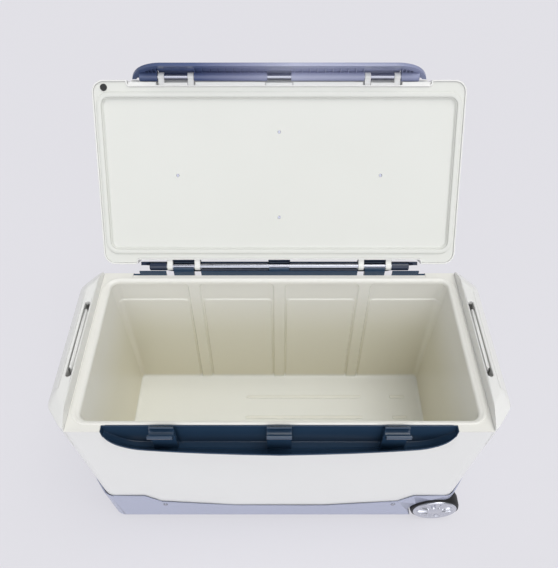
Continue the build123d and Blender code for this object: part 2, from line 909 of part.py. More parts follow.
def make_lever(frame, side):
    """Ribbed latch lever on its rod, for one long side."""
    start = lever_plane(frame, side, -side * half_lever)
    with BuildPart() as ribs:
        with BuildSketch(start):
            add(blade_section(0, blade_depth))
            with Locations((lever_rib_reach - lever_rib_wall / 2, 0)):
                Rectangle(lever_rib_wall, 2 * lever_reach, mode=Mode.INTERSECT)
        extrude(amount=lever_length)
        for place in rib_places:
            with BuildSketch(lever_plane(frame, side, side * (place - lever_rib_wall / 2))):
                add(blade_section(0, blade_depth))
                with Locations((lever_rib_reach / 2, 0)):
                    Rectangle(lever_rib_reach, 2 * lever_reach, mode=Mode.INTERSECT)
            extrude(amount=lever_rib_wall)
    with BuildPart() as pocket:
        with BuildSketch(start):
            add(blade_section(lever_wall, blade_depth + 1))
        extrude(amount=lever_length)
        add(lever_prism(frame, side, lever_wall), mode=Mode.INTERSECT)
    with BuildPart() as lever:
        with BuildSketch(start):
            add(blade_section(0, blade_depth))
        extrude(amount=lever_length)
        add(pocket.part, mode=Mode.SUBTRACT)
        add(ribs.part)
        add(lever_prism(frame, side, 0), mode=Mode.INTERSECT)
        with BuildSketch(start):
            Circle(hub_outer)
        extrude(amount=lever_length)
        with BuildSketch(start):
            Circle(rod_radius + lever_bore_gap)
        extrude(amount=lever_length, mode=Mode.SUBTRACT)
        for place in claw_places:
            with BuildSketch(lever_plane(frame, side, place - side * window_width / 2)):
                with Locations(((lever_window_drop - 2 * hub_outer) / 2, 0)):
                    Rectangle(lever_window_drop + 2 * hub_outer, 4 * hub_outer)
            extrude(amount=window_width, mode=Mode.SUBTRACT)
        for place in (-claw_spacing, claw_spacing):
            with BuildSketch(lever_plane(frame, side, place - side * lug_zone_width / 2)):
                Circle(lug_outer + lug_gap)
                with Locations(((lever_lug_drop - 2 * hub_outer) / 2, 0)):
                    Rectangle(lever_lug_drop + 2 * hub_outer, 4 * hub_outer)
            extrude(amount=lug_zone_width, mode=Mode.SUBTRACT)
        for place in claw_places:
            with BuildSketch(lever_plane(frame, side, place - side * window_width / 2)):
                Circle(hood_inner + hood_wall)
                with Locations((lever_window_drop / 2, hub_outer - lever_wall / 2)):
                    Rectangle(lever_window_drop + 2 * hood_lap, lever_wall)
                Circle(hood_inner, mode=Mode.SUBTRACT)
                with Locations((0, hood_low + hub_outer)):
                    Rectangle(2 * lever_window_drop + 2 * hood_lap, 2 * hub_outer, mode=Mode.INTERSECT)
                with Locations((-hood_back - hub_outer, 0)):
                    Rectangle(2 * hub_outer, 4 * hub_outer, mode=Mode.SUBTRACT)
            extrude(amount=window_width)
        with BuildSketch(lever_plane(frame, side, -side * bare_rod_length / 2)):
            with Locations((-hub_outer - lever_hub_lap, 0)):
                Rectangle(2 * hub_outer, 4 * hub_outer)
        extrude(amount=bare_rod_length, mode=Mode.SUBTRACT)
    return lever


keep(make_lever(lid_frame, -1), "lever_front")
keep(make_lever(Plane.XY, 1), "lever_rear")

# ---------------------------------------------------------------- end caps and carry handles
slot_x = cap_inner_x + cap_wall + slot_edge + slot_width / 2
cover_x = slot_x + slot_width / 2 + slot_wall + cap_wall
end_names = {-1: "left", 1: "right"}
handle_low = cap_base_height + seat_gap
handle_high = cap_top_height - handle_sink

def cap_block(side, inset):
    """One end of the body's top with its bevelled crest, drawn in by a wall."""
    bevel_z = cap_top_height - cap_bevel - inset * tan(radians(22.5))
    crest_z = cap_top_height - inset
    with BuildPart() as block:
        add(body_block(cap_base_height, bevel_z, -inset))
        add(body_block(bevel_z, crest_z, -inset, crest_z - bevel_z))
        split(bisect_by=Plane(origin=(side * (cap_inner_x + inset), 0, 0), z_dir=(side, 0, 0)))
    return block.part


for side, end_name in end_names.items():
    with BuildPart() as cap_hull:
        add(cap_block(side, 0))
        add(cap_block(side, cap_wall), mode=Mode.SUBTRACT)
        with BuildSketch(Plane.XY.offset(cap_top_height - slot_collar_depth)):
            with Locations((side * slot_x, 0)):
                SlotOverall(slot_length + 2 * slot_wall, slot_width + 2 * slot_wall, rotation=90)
        extrude(amount=slot_collar_depth)
        with BuildSketch(Plane.XY.offset(cap_base_height)):
            with Locations((side * slot_x, 0)):
                SlotOverall(slot_length, slot_width, rotation=90)
        extrude(amount=cap_rise + rim_height, mode=Mode.SUBTRACT)

    with BuildPart() as end_cap:
        add(cap_hull.part)
        with BuildSketch(Plane.XY.offset(cap_base_height)):
            with Locations((side * (cover_x + body_length / 2), 0)):
                Rectangle(body_length, cover_length)
        extrude(amount=rim_height, mode=Mode.SUBTRACT)
    keep(end_cap, f"end_cap_{end_name}")

    with BuildPart() as handle_cover:
        with BuildSketch(Plane.XY.offset(cap_base_height)):
            with Locations((side * (cover_x + cover_gap + body_length / 2), 0)):
                Rectangle(body_length, cover_length - 2 * cover_gap)
        extrude(amount=rim_height)
        add(cap_hull.part, mode=Mode.INTERSECT)
    keep(handle_cover, f"handle_cover_{end_name}")

    with BuildPart() as carry_handle:
        leg_y = (handle_length - handle_leg_width) / 2
        leg_thickness = slot_width - 2 * handle_leg_gap
        with BuildSketch(Plane.XY.offset(handle_high - handle_grip_height)):
            with Locations((side * slot_x, 0)):
                RectangleRounded(handle_thickness, handle_length, handle_thickness / 2 - 0.01)
        extrude(amount=handle_grip_height)
        with BuildSketch(Plane.XY.offset(handle_low)):
            with Locations((side * slot_x, -leg_y), (side * slot_x, leg_y)):
                RectangleRounded(leg_thickness, handle_leg_width, handle_leg_round)
        extrude(amount=handle_high - handle_grip_height / 2 - handle_low)
        with BuildSketch(Plane.XY.offset(handle_low)):
            with Locations((side * slot_x, 0)):
                Rectangle(leg_thickness, handle_length + 2 * handle_foot_reach)
                Rectangle(leg_thickness, handle_length - 2 * handle_leg_width, mode=Mode.SUBTRACT)
        extrude(amount=handle_foot_height)
    keep(carry_handle, f"carry_handle_{end_name}")


os.makedirs("parts", exist_ok=True)
for built in parts:
    export_step(built, f"parts/{built.label}.step")
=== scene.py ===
from math import atan2, cos, hypot, pi, radians, sin, tan

import bmesh
import bpy
from mathutils import Matrix, Vector


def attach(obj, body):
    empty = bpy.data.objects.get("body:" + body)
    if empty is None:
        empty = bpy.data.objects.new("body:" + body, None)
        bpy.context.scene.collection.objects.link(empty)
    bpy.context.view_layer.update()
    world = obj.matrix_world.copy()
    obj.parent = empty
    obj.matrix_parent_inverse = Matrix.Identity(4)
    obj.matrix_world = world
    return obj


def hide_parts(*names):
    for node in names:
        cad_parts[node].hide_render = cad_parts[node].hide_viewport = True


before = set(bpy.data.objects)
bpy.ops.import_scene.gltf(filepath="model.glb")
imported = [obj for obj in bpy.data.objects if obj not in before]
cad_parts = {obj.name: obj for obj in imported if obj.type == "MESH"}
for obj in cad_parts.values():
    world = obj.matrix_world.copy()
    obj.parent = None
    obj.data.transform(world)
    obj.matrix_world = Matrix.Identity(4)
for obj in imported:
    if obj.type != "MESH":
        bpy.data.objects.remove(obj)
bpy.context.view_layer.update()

# ---------------------------------------------------------------- camera, floor and lamps
# The box stands on pale studio paper, seen from the front and well above. One soft
# lamp comes from the right, one from the front, and the room itself lights the rest.
scene = bpy.context.scene


def linear(code):
    """Linear colour with alpha from an sRGB hex value."""
    shares = [int(code[start:start + 2], 16) / 255 for start in (1, 3, 5)]
    toe, offset, power = 0.04045, 0.055, 2.4
    plain = [c / 12.92 if c <= toe else ((c + offset) / (1 + offset)) ** power for c in shares]
    return (*plain, 1)


def add_node(tree, kind, inputs=None, **settings):
    """Adds a node with its fields and inputs; a node as a value means its first output."""
    made = tree.nodes.new(kind)
    for field, value in settings.items():
        setattr(made, field, value)
    for socket, value in (inputs or {}).items():
        if isinstance(value, bpy.types.Node):
            value = value.outputs[0]
        if isinstance(value, bpy.types.NodeSocket):
            tree.links.new(value, made.inputs[socket])
        else:
            made.inputs[socket].default_value = value
    return made


def new_object(name, data):
    """Object linked into the scene."""
    made = bpy.data.objects.new(name, data)
    scene.collection.objects.link(made)
    return made


def new_material(name):
    """Empty node material, as (material, tree)."""
    material = bpy.data.materials.new(name)
    material.use_nodes = True
    material.node_tree.nodes.clear()
    return material, material.node_tree


camera_data = bpy.data.cameras.new("studio_camera")
camera_data.lens = 36.385
camera_data.sensor_width = 36
camera = new_object("studio_camera", camera_data)
camera.location = (-0.0005, -0.5858, 1.2657)
camera.rotation_euler = (radians(90 - 49.785), 0, 0)
scene.camera = camera
scene.view_settings.view_transform = "Standard"

floor_reach = 8
floor_mesh = bpy.data.meshes.new("studio_floor")
floor_mesh.from_pydata(
    [(x * floor_reach, y * floor_reach, 0) for x, y in ((-1, -1), (1, -1), (1, 1), (-1, 1))],
    [], [(0, 1, 2, 3)],
)
floor = new_object("studio_floor", floor_mesh)
material, tree = new_material("studio_paper")
paper = add_node(tree, "ShaderNodeBsdfDiffuse", {"Color": linear("#E6E5EA")})
glow = add_node(tree, "ShaderNodeEmission", {"Color": linear("#E3E2E8"), "Strength": 1.0})
path = add_node(tree, "ShaderNodeLightPath").outputs
seen = add_node(tree, "ShaderNodeMath", {
    0: path["Is Camera Ray"], 1: path["Is Glossy Ray"],
}, operation="MAXIMUM")
part_seen = add_node(tree, "ShaderNodeMath", {0: seen, 1: 0.75}, operation="MULTIPLY")
backdrop = add_node(tree, "ShaderNodeMixShader", {0: part_seen, 1: paper, 2: glow})
add_node(tree, "ShaderNodeOutputMaterial", {"Surface": backdrop})
floor_mesh.materials.append(material)

world = bpy.data.worlds.new("studio_room")
world.use_nodes = True
room = world.node_tree.nodes["Background"]
room.inputs["Color"].default_value = linear("#F4F5F8")
room.inputs["Strength"].default_value = 0.44
# past the paper's edge the camera sees the same pale tone, which lights nothing
tree = world.node_tree
far_tone = add_node(tree, "ShaderNodeBackground", {"Color": linear("#E1E1E6")})
backdrop = add_node(tree, "ShaderNodeMixShader", {
    0: add_node(tree, "ShaderNodeLightPath").outputs["Is Camera Ray"],
    1: room.outputs[0], 2: far_tone,
})
tree.links.new(backdrop.outputs[0], tree.nodes["World Output"].inputs[0])
scene.world = world


def add_sun(name, energy, turn, rise, soft, colour):
    """Soft lamp shining from an azimuth and a height in degrees."""
    data = bpy.data.lights.new(name, "SUN")
    data.energy = energy
    data.angle = radians(soft)
    data.color = linear(colour)[:3]
    new_object(name, data).rotation_euler = (radians(90 - rise), 0, radians(turn + 90))


add_sun("top_lamp", 0.95, -12, 78, 34, "#FFFEFA")
add_sun("right_lamp", 0.28, 0, 58, 30, "#FFFFFC")
add_sun("front_lamp", 1.08, -88, 27, 60, "#FBFCFF")

# ---------------------------------------------------------------- inner liner
# The tub that holds the vaccines: one vacuum-formed sheet of cream ABS. Its long walls
# have panels pressed back between plain ribs, and its rim rolls over into a raised bead.
MM = 0.001


def loft(rings, loop=False):
    """Points and faces that join rings of equal counts; the end rings are filled."""
    count = len(rings[0])
    points = [point for ring in rings for point in ring]
    faces = []
    for row in range(len(rings) if loop else len(rings) - 1):
        low = row * count
        high = (row + 1) % len(rings) * count
        for column in range(count):
            after = (column + 1) % count
            faces.append((low + column, low + after, high + after, high + column))
    if not loop:
        top = (len(rings) - 1) * count
        faces.append(tuple(range(count)))
        faces.append(tuple(range(top, top + count)))
    return points, faces


def prism(outline, low, high):
    """Closed plate with a plain outline between two heights."""
    return loft([[(x, y, z) for x, y in outline] for z in (low, high)])


def slab(low_x, high_x, low_y, high_y, low_z, high_z):
    """Closed box between two places on each axis."""
    corners = [(low_x, low_y), (high_x, low_y), (high_x, high_y), (low_x, high_y)]
    return prism(corners, low_z, high_z)


def moulding(name, shells, place=Matrix(), sharp=32):
    """Object made of closed shells given in millimetres."""
    work = bmesh.new()
    for points, faces in shells:
        made = [work.verts.new(place @ Vector(point) * MM) for point in points]
        for face in faces:
            work.faces.new([made[index] for index in face])
    bmesh.ops.recalc_face_normals(work, faces=work.faces)
    mesh = bpy.data.meshes.new(name)
    work.to_mesh(mesh)
    work.free()
    return even_shading(new_object(name, mesh), sharp)


def even_shading(piece, sharp):
    """Smooth shading that keeps flat faces flat and edges beyond an angle sharp."""
    piece.data.polygons.foreach_set("use_smooth", [True] * len(piece.data.polygons))
    piece.data.set_sharp_from_angle(angle=radians(sharp))
    even = piece.modifiers.new("even_normals", "WEIGHTED_NORMAL")
    even.keep_sharp = True
    return settle(piece)


def settle(piece):
    """Turns a piece's modifiers into its plain mesh."""
    graph = bpy.context.evaluated_depsgraph_get()
    final = bpy.data.meshes.new_from_object(piece.evaluated_get(graph))
    piece.modifiers.clear()
    piece.data = final
    return piece


def fit(piece, material, body, slot, *nodes):
    """Gives a piece its material and its body, and hides the nodes that it stands for; the slot is
    not used.
    """
    piece.data.materials.clear()
    piece.data.materials.append(material)
    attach(piece, body)
    if nodes:
        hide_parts(*nodes)
    return piece


def toned_plastic(name, axis, span, tones, low_gloss, high_gloss):
    """Gloss plastic whose colour runs through tones, given by share, along an axis in mm."""
    material, tree = new_material(name)
    place = add_node(tree, "ShaderNodeTexCoord").outputs["Object"]
    along = add_node(tree, "ShaderNodeSeparateXYZ", {0: place}).outputs[axis]
    share = add_node(tree, "ShaderNodeMapRange", {
        "Value": along, "From Min": span[0] * MM, "From Max": span[1] * MM,
    })
    run = add_node(tree, "ShaderNodeValToRGB", {0: share})
    stops = run.color_ramp.elements
    for spot, colour in tones:
        stop = stops.new(spot) if 0 < spot < 1 else stops[-spot]
        stop.color = linear(colour)
    drift = add_node(tree, "ShaderNodeTexNoise", {"Vector": place, "Scale": 1 / 0.05, "Detail": 2})
    shine = add_node(tree, "ShaderNodeMapRange", {
        "Value": drift, "To Min": low_gloss, "To Max": high_gloss,
    })
    skin = add_node(tree, "ShaderNodeBsdfPrincipled", {
        "Base Color": run, "Roughness": shine, "IOR": 1.5,
    })
    add_node(tree, "ShaderNodeOutputMaterial", {"Surface": skin})
    return material


# cream ABS sheet, vacuum formed, with a satin gloss; its colour carries painted depth shade: a
# neutral cream at the rim, painted darker and warmer down the walls for the cavity's shade and
# the light passed from wall to wall, and painted paler on the floor as if it were lit more
liner_cream_painted_depth_shade = toned_plastic("cream_abs_liner_painted_depth_shade", "Z", (80, 410), (
    (0, "#F3F4F0"), (0.03, "#E8E3CF"), (0.5, "#E9E6D6"), (0.85, "#EFEEE8"), (1, "#EFEEE8"),
), 0.27, 0.27)

opening_x, opening_y = 330, 149
rim_z, floor_z = 405, 80
corner_top, corner_low = 16, 8
draft_x, draft_y = 6, 20
rib_half = 10
panel_spans = [(rib_half, 160), (180, 340)]
panels = [(hand * (a + b) / 2, (b - a) / 2) for a, b in panel_spans for hand in (-1, 1)]
panel_foot, niche_top, field_top = 20, 398, 351
niche_depth, field_rise = 4, 2.4


def pad_share(x, z, half_x, half_z, radius, edge):
    """How far inside a rounded rectangle a point is, from 0 outside to 1 past its edge."""
    over_x = abs(x) - half_x + radius
    over_z = abs(z) - half_z + radius
    gap = hypot(max(over_x, 0), max(over_z, 0)) + min(max(over_x, over_z), 0) - radius
    share = min(max(-gap / edge, 0), 1)
    return share * share * (3 - 2 * share)


def wall_relief(x, z):
    """How far a long wall stands back at a place, in millimetres."""
    depth = 0
    for middle, half in panels:
        for top, margin, radius, edge, rise in (
            (niche_top, 0, 12, 3, niche_depth), (field_top, 4, 9, 3.2, -field_rise),
        ):
            tall = (top - panel_foot) / 2
            depth += rise * pad_share(
                x - middle, z - panel_foot - tall, half - margin, tall, radius, edge,
            )
    return depth


# columns and rows of the wall's mesh stand close together at the edges of the panels
fine_steps = (-1.5, 0, 1, 2, 3, 4.2, 5.4, 6.6, 8, 10, 13, 17, 24)
last_column = 297.6
wall_columns = {0, 50, 85, 120, 170, 200, 220, 240, 260, 280, 290}
for low, high in panel_spans:
    wall_columns |= {low + step for step in fine_steps} | {high - step for step in fine_steps}
wall_columns = sorted(x for x in wall_columns if 0 <= x <= last_column)
wall_columns = [-x for x in wall_columns[:0:-1]] + wall_columns
wall_rows = sorted(
    {niche_top - step for step in fine_steps if step > -2}
    | {field_top - step for step in fine_steps}
    | {field_top + step for step in (2.5, 4.5, 8)}
    | set(range(90, 330, 20)) | {84},
)


def tub_ring(z, relief=1, inset=0, grow_x=0, grow_y=0, height=None):
    """Level ring round the cavity wall at a height, with its pressed panels."""
    share = (rim_z - z) / (rim_z - floor_z)
    half_x = opening_x - draft_x * share - inset + grow_x
    half_y = opening_y - draft_y * share - inset + grow_y
    radius = corner_top + (corner_low - corner_top) * share - inset + grow_x
    flat_x, flat_y = half_x - radius, half_y - radius
    columns = [-flat_x] + wall_columns + [flat_x]
    corner_back = relief * wall_relief(flat_x, z)
    ring = []
    for quarter, (sign_x, sign_y) in enumerate(((1, 1), (-1, 1), (-1, -1), (1, -1))):
        if quarter % 2 == 0:
            for share_y in (-1, -0.5, 0, 0.5):
                ring.append((sign_x * half_x, sign_y * share_y * flat_y))
        else:
            for x in columns[:-1]:
                ring.append((-sign_y * x, sign_y * (half_y + relief * wall_relief(x, z))))
        start = quarter * pi / 2
        for step in range(8):
            turn = start + step * pi / 16
            reach = radius + corner_back * abs(sin(turn)) ** 3
            ring.append((
                sign_x * flat_x + reach * cos(turn),
                sign_y * flat_y + reach * sin(turn),
            ))
    return [(x, y, z if height is None else height) for x, y in ring]


# floor edge: a soft cove of 4 mm between the walls and the floor
cove = 4
tub_rings = []
for step in range(6, 0, -1):
    turn = step * pi / 12
    tub_rings.append(tub_ring(
        floor_z + cove, 1 - step / 6, cove * (1 - cos(turn)), 0, 0,
        floor_z + cove * (1 - sin(turn)),
    ))
tub_rings += [tub_ring(z) for z in wall_rows]
# rim: rolls out of the cavity, then rises into the bead that the lid seal meets
rim_profile = [
    (0, 0, 399.8), (0.3, 0.25, 401.6), (1.2, 1, 403.2), (2.6, 2, 404.3), (4.4, 2.9, 404.9),
    (6.2, 3.5, 405.1), (7.4, 4, 405.4), (8.4, 4.6, 406.1), (9.8, 5.4, 406.5),
    (13.6, 7.4, 406.5), (15, 8.2, 406.1), (16, 8.7, 405.3), (16.4, 8.9, 404.6),
    (16.4, 8.9, 402.5),
]
tub_rings += [tub_ring(rim_z, 0, 0, out_x, out_y, z) for out_x, out_y, z in rim_profile]
wall_x, wall_y, wall = 2.5, 6.5, 2.5
tub_rings.append(tub_ring(rim_z, 0, 0, wall_x, wall_y, rim_z - wall))
tub_rings.append(tub_ring(floor_z, 0, 0, wall_x, wall_y, floor_z - wall))
shells = [loft(tub_rings)]

# flat flange beyond the bead at both ends, notched for the hook rails
body_half_y, notch_x, bead_x = 170, 290.6, 283.6
bead_foot = [(x, y) for x, y, z in tub_ring(rim_z, 0, 0, 15.8, 8.6) if x > bead_x + 0.4]
bead_foot.sort(key=lambda point: -atan2(point[1], point[0] - 250))
corner = [(348.2, body_half_y), (notch_x, body_half_y), (notch_x, 158.6), (bead_x, 158.6),
          (bead_x, 157.5)]
outline = corner + bead_foot + [(x, -y) for x, y in corner[::-1]]
for hand in (-1, 1):
    shells.append(prism([(hand * x, y) for x, y in outline], rim_z - wall, rim_z))
# the rear flange reaches out to the closing strip of the rear rail
shells.append(slab(-290, 290, 156, 164.2, 403, 405.3))
liner = moulding("cavity_liner", shells)
fit(liner, liner_cream_painted_depth_shade, "body", "liner_plastic", "inner_liner")

# ribs pressed up in the cavity floor, so that melt water runs between them: each row is
# a low rounded bar that tapers off at both ends
tree = floor_ribs = bpy.data.node_groups.new("floor_rib_rows", "GeometryNodeTree")
for name, kind in (
    ("Length", "Float"), ("Width", "Float"), ("Rise", "Float"), ("Spacing", "Float"),
    ("Rows", "Int"), ("Material", "Material"),
):
    tree.interface.new_socket(name, in_out="INPUT", socket_type=f"NodeSocket{kind}")
tree.interface.new_socket("Geometry", in_out="OUTPUT", socket_type="NodeSocketGeometry")
given = add_node(tree, "NodeGroupInput").outputs
half_length = add_node(tree, "ShaderNodeMath", {0: given["Length"], 1: 0.5}, operation="MULTIPLY")
less = add_node(tree, "ShaderNodeMath", {0: half_length, 1: -1.0}, operation="MULTIPLY")
start = add_node(tree, "ShaderNodeCombineXYZ", {0: less})
end = add_node(tree, "ShaderNodeCombineXYZ", {0: half_length})
spine = add_node(tree, "GeometryNodeCurvePrimitiveLine", {"Start": start, "End": end})
dense = add_node(tree, "GeometryNodeResampleCurve", {"Curve": spine, "Count": 61})
centred = add_node(tree, "ShaderNodeMapRange", {
    "Value": add_node(tree, "GeometryNodeSplineParameter"),
    "To Min": -1.0, "To Max": 1.0,
})
power = add_node(tree, "ShaderNodeMath", {0: centred, 1: 24.0}, operation="POWER")
left_over = add_node(tree, "ShaderNodeMath", {0: 1.0001, 1: power}, operation="SUBTRACT")
taper = add_node(tree, "ShaderNodeMath", {0: left_over}, operation="SQRT")
half_width = add_node(tree, "ShaderNodeMath", {0: given["Width"], 1: 0.5}, operation="MULTIPLY")
girth = add_node(tree, "ShaderNodeMath", {0: taper, 1: half_width}, operation="MULTIPLY")
ring = add_node(tree, "GeometryNodeCurvePrimitiveCircle", {"Resolution": 16, "Radius": 1.0})
sweep = add_node(tree, "GeometryNodeCurveToMesh", {
    "Curve": dense, "Profile Curve": ring,
    "Scale": girth, "Fill Caps": True,
})
ratio = add_node(tree, "ShaderNodeMath", {0: given["Rise"], 1: half_width}, operation="DIVIDE")
flat = add_node(tree, "ShaderNodeCombineXYZ", {0: 1.0, 1: 1.0, 2: ratio})
low = add_node(tree, "GeometryNodeTransform", {"Geometry": sweep, "Scale": flat})
step_y = add_node(tree, "ShaderNodeCombineXYZ", {1: given["Spacing"]})
row_line = add_node(tree, "GeometryNodeMeshLine", {"Count": given["Rows"], "Offset": step_y})
rows = add_node(tree, "GeometryNodeInstanceOnPoints", {"Points": row_line, "Instance": low})
real = add_node(tree, "GeometryNodeRealizeInstances", {"Geometry": rows})
painted = add_node(tree, "GeometryNodeSetMaterial", {
    "Geometry": real, "Material": given["Material"],
})
add_node(tree, "NodeGroupOutput", {"Geometry": painted})
sockets = {item.name: item.identifier for item in floor_ribs.interface.items_tree
           if item.item_type == "SOCKET" and item.in_out == "INPUT"}

# one set of long rows in the middle and one of short rows by the right end wall
first_row_y = -82
for number, (rib_x, rib_length) in enumerate(((56, 270), (272, 34)), 1):
    name = f"floor_ribs_{number}"
    ribs = new_object(name, bpy.data.meshes.new(name))
    grown = ribs.modifiers.new("rib_rows", "NODES")
    grown.node_group = floor_ribs
    for name, value in (
        ("Length", rib_length * MM), ("Width", 9 * MM), ("Rise", 2.4 * MM),
        ("Spacing", 52 * MM), ("Rows", 4), ("Material", liner_cream_painted_depth_shade),
    ):
        grown[sockets[name]] = value
    settle(ribs)
    ribs.data.transform(Matrix.Translation((rib_x * MM, first_row_y * MM, floor_z * MM)))
    ribs.data.polygons.foreach_set("use_smooth", [True] * len(ribs.data.polygons))
    fit(ribs, liner_cream_painted_depth_shade, "body", "liner_plastic")

# ---------------------------------------------------------------- outer shell
# The cream outer body, blow moulded in one with soft corners and drafted ends. Its wall
# follows the raised line of the skirt, stops under the rails, and at both ends runs on up
# to the rim.


def moulded_plastic(name, colour, deep, gloss, relief=0):
    """Moulded plastic with a slow drift of colour, and a fine grain if it has one."""
    material, tree = new_material(name)
    place = add_node(tree, "ShaderNodeTexCoord").outputs["Object"]
    flow = add_node(tree, "ShaderNodeTexNoise", {"Vector": place, "Scale": 1 / 0.16, "Detail": 2})
    tint = add_node(tree, "ShaderNodeMix", {
        0: flow, 6: linear(colour), 7: linear(deep),
    }, data_type="RGBA")
    skin = add_node(tree, "ShaderNodeBsdfPrincipled", {
        "Base Color": tint.outputs[2], "Roughness": gloss, "IOR": 1.5,
    })
    if relief:
        grain = add_node(tree, "ShaderNodeTexNoise", {
            "Vector": place, "Scale": 1 / 0.0016, "Detail": 1,
        })
        bump = add_node(tree, "ShaderNodeBump", {
            "Height": grain, "Strength": 0.4, "Distance": relief * MM,
        })
        tree.links.new(bump.outputs["Normal"], skin.inputs["Normal"])
    add_node(tree, "ShaderNodeOutputMaterial", {"Surface": skin})
    return material


# cream ABS, blow moulded in a polished tool: a clean, near-white gloss
cream_shell = moulded_plastic("cream_abs_shell", "#F1F1EF", "#EDEDEA", 0.20)

corner_cut, corner_draw, corner_radius = 42, 32, 24
foot_length, flare, foot_z, flare_rise = 736, 32, 19, 393


def soft_outline(corners, radii, steps):
    """Closed outline through corners in turn, each rounded off by its own radius."""
    points = []
    for index, corner in enumerate(corners):
        corner = Vector(corner)
        back = (Vector(corners[index - 1]) - corner).normalized()
        ahead = (Vector(corners[(index + 1) % len(corners)]) - corner).normalized()
        half = back.angle(ahead) / 2
        centre = corner + (back + ahead).normalized() * radii[index] / sin(half)
        start = corner + back * radii[index] / tan(half) - centre
        end = corner + ahead * radii[index] / tan(half) - centre
        swing = pi - 2 * half
        for step in range(steps + 1):
            share = step / steps
            arm = start * sin((1 - share) * swing) + end * sin(share * swing)
            points.append(tuple(centre + arm / sin(swing)))
    return points


def body_outline_at(z, inset=0):
    """Half of the box's plan at a height, from the front middle round to the rear middle."""
    end_x = (foot_length + flare * (z - foot_z) / flare_rise) / 2 - inset
    front = body_half_y - inset
    corners = [
        (0, -front), (end_x - corner_draw, -front), (end_x, corner_cut - front),
        (end_x, front - corner_cut), (end_x - corner_draw, front), (0, front), (-300, 0),
    ]
    radius = corner_radius - inset * 0.6
    return soft_outline(corners, [1, radius, radius, radius, radius, 1, 1], 6)[7:-14]


# the seam with the skirt, which the wall laps by 6 mm, and the columns of its mesh
seam_line = [(0, 71), (90, 71), (238, 93), (267, 124), (400, 124)]
seam_lap = 6
shell_columns = [0, 45, 90, 127, 164, 201, 220, 238, 245.5, 253, 260, 267, 283.5, 300]
end_from_x = 301
rail_foot_z, end_top_z = 346.4, 402.4
wall_face, wall_back = 0.6, 3.6


def seam(x):
    """Height of the wall's lower edge at a place."""
    spot = max(index for index, (place, z) in enumerate(seam_line) if place <= x)
    (low_x, low_z), (high_x, high_z) = seam_line[spot], seam_line[min(spot + 1, 4)]
    rise = (x - low_x) / (high_x - low_x) if high_x > low_x else 0
    return low_z + (high_z - low_z) * rise - seam_lap


def shell_ring(share, inset):
    """Ring round the shell's wall, part of the way from its seam to the rail's underside."""
    def level(x):
        return seam(x) + (rail_foot_z - seam(x)) * share

    wall_y, end_z = body_half_y - inset, level(shell_columns[-1])
    front = [(x, -wall_y, level(x)) for x in shell_columns]
    end = [(x, y, end_z) for x, y in body_outline_at(end_z, inset) if x > end_from_x]
    rear = [(x, wall_y, level(x)) for x in shell_columns[::-1]]
    half = front + end + rear
    return half + [(-x, y, z) for x, y, z in half[::-1] if x > 0]


shell_walls = [loft(
    [shell_ring(share, wall_face) for share in (0, 0.01, 0.25, 0.5, 0.75, 0.99, 1)]
    + [shell_ring(share, wall_back) for share in (1, 0.5, 0)],
    loop=True,
)]
end_x, end_y, back_y = 290.4, body_half_y - wall_face, body_half_y - wall_back
for hand in (-1, 1):
    levels = []
    for z in (rail_foot_z, 375, end_top_z):
        outer, inner = ([point for point in body_outline_at(z, inset) if point[0] > end_from_x]
                        for inset in (wall_face, wall_back))
        ring = [(end_x, -end_y)] + outer + [(end_x, end_y), (end_x, back_y)]
        ring += inner[::-1] + [(end_x, -back_y)]
        levels.append([(hand * x, y, z) for x, y in ring])
    shell_walls.append(loft(levels))
    for side in (-1, 1):
        shell_walls.append(slab(hand * 290.2, hand * 293.2, side * 158, side * 169.3,
                                rail_foot_z, end_top_z))
fit(moulding("body_shell", shell_walls), cream_shell, "body", "shell_plastic", "outer_shell")

# ---------------------------------------------------------------- end caps, covers and handles
# Each end of the box carries a moulded cap with a crest above the rim. A slot in the
# crest holds a flat sliding handle, and a separate outer cover closes the cap's middle.
cap_inner_x, slot_x = 348.5, 356.5
cap_points, cap_inner_points = 90, 30


def cap_ring(z, inset, edge_inset, plan_z):
    """Ring of an end cap at a height, cut off straight along its inner edge."""
    cut_x = cap_inner_x + edge_inset
    line = [Vector(point) for point in body_outline_at(plan_z, inset)]
    line = [Vector((0, line[0].y))] + line + [Vector((0, line[-1].y))]
    kept = []
    for here, after in zip(line, line[1:]):
        if (here.x < cut_x) != (after.x < cut_x):
            share = (cut_x - here.x) / (after.x - here.x)
            kept.append(here.lerp(after, share))
        if after.x >= cut_x:
            kept.append(after)
    reach = [0]
    for here, after in zip(kept, kept[1:]):
        reach.append(reach[-1] + (after - here).length)
    ring, spot = [], 0
    for index in range(cap_points):
        want = reach[-1] * index / (cap_points - 1)
        while spot < len(reach) - 2 and reach[spot + 1] < want:
            spot += 1
        span = reach[spot + 1] - reach[spot] or 1
        ring.append(kept[spot].lerp(kept[spot + 1], (want - reach[spot]) / span))
    top, low = ring[-1].y, ring[0].y
    steps = range(1, cap_inner_points + 1)
    inner = [Vector((cut_x, top + (low - top) * step / (cap_inner_points + 1))) for step in steps]
    return [(point.x, point.y, z) for point in ring + inner]


def slot_ring(z, half_length, half_width):
    """Ring of the handle slot with as many points as a cap's ring."""
    straight, bend = half_length - half_width, pi * half_width / 2

    def outer_half(share):
        want = 2 * (bend + straight) * share
        if bend <= want < bend + 2 * straight:
            return half_width, want - bend - straight
        if want < bend:
            turn, middle = want / half_width - pi / 2, -straight
        else:
            turn, middle = (want - bend - 2 * straight) / half_width, straight
        return half_width * cos(turn), middle + half_width * sin(turn)

    inner_steps = range(1, cap_inner_points + 1)
    outer = [outer_half(step / (cap_points - 1)) for step in range(cap_points)]
    inner = [outer_half(step / (cap_inner_points + 1)) for step in inner_steps]
    return [(slot_x + x, y, z) for x, y in outer + [(-x, -y) for x, y in inner]]


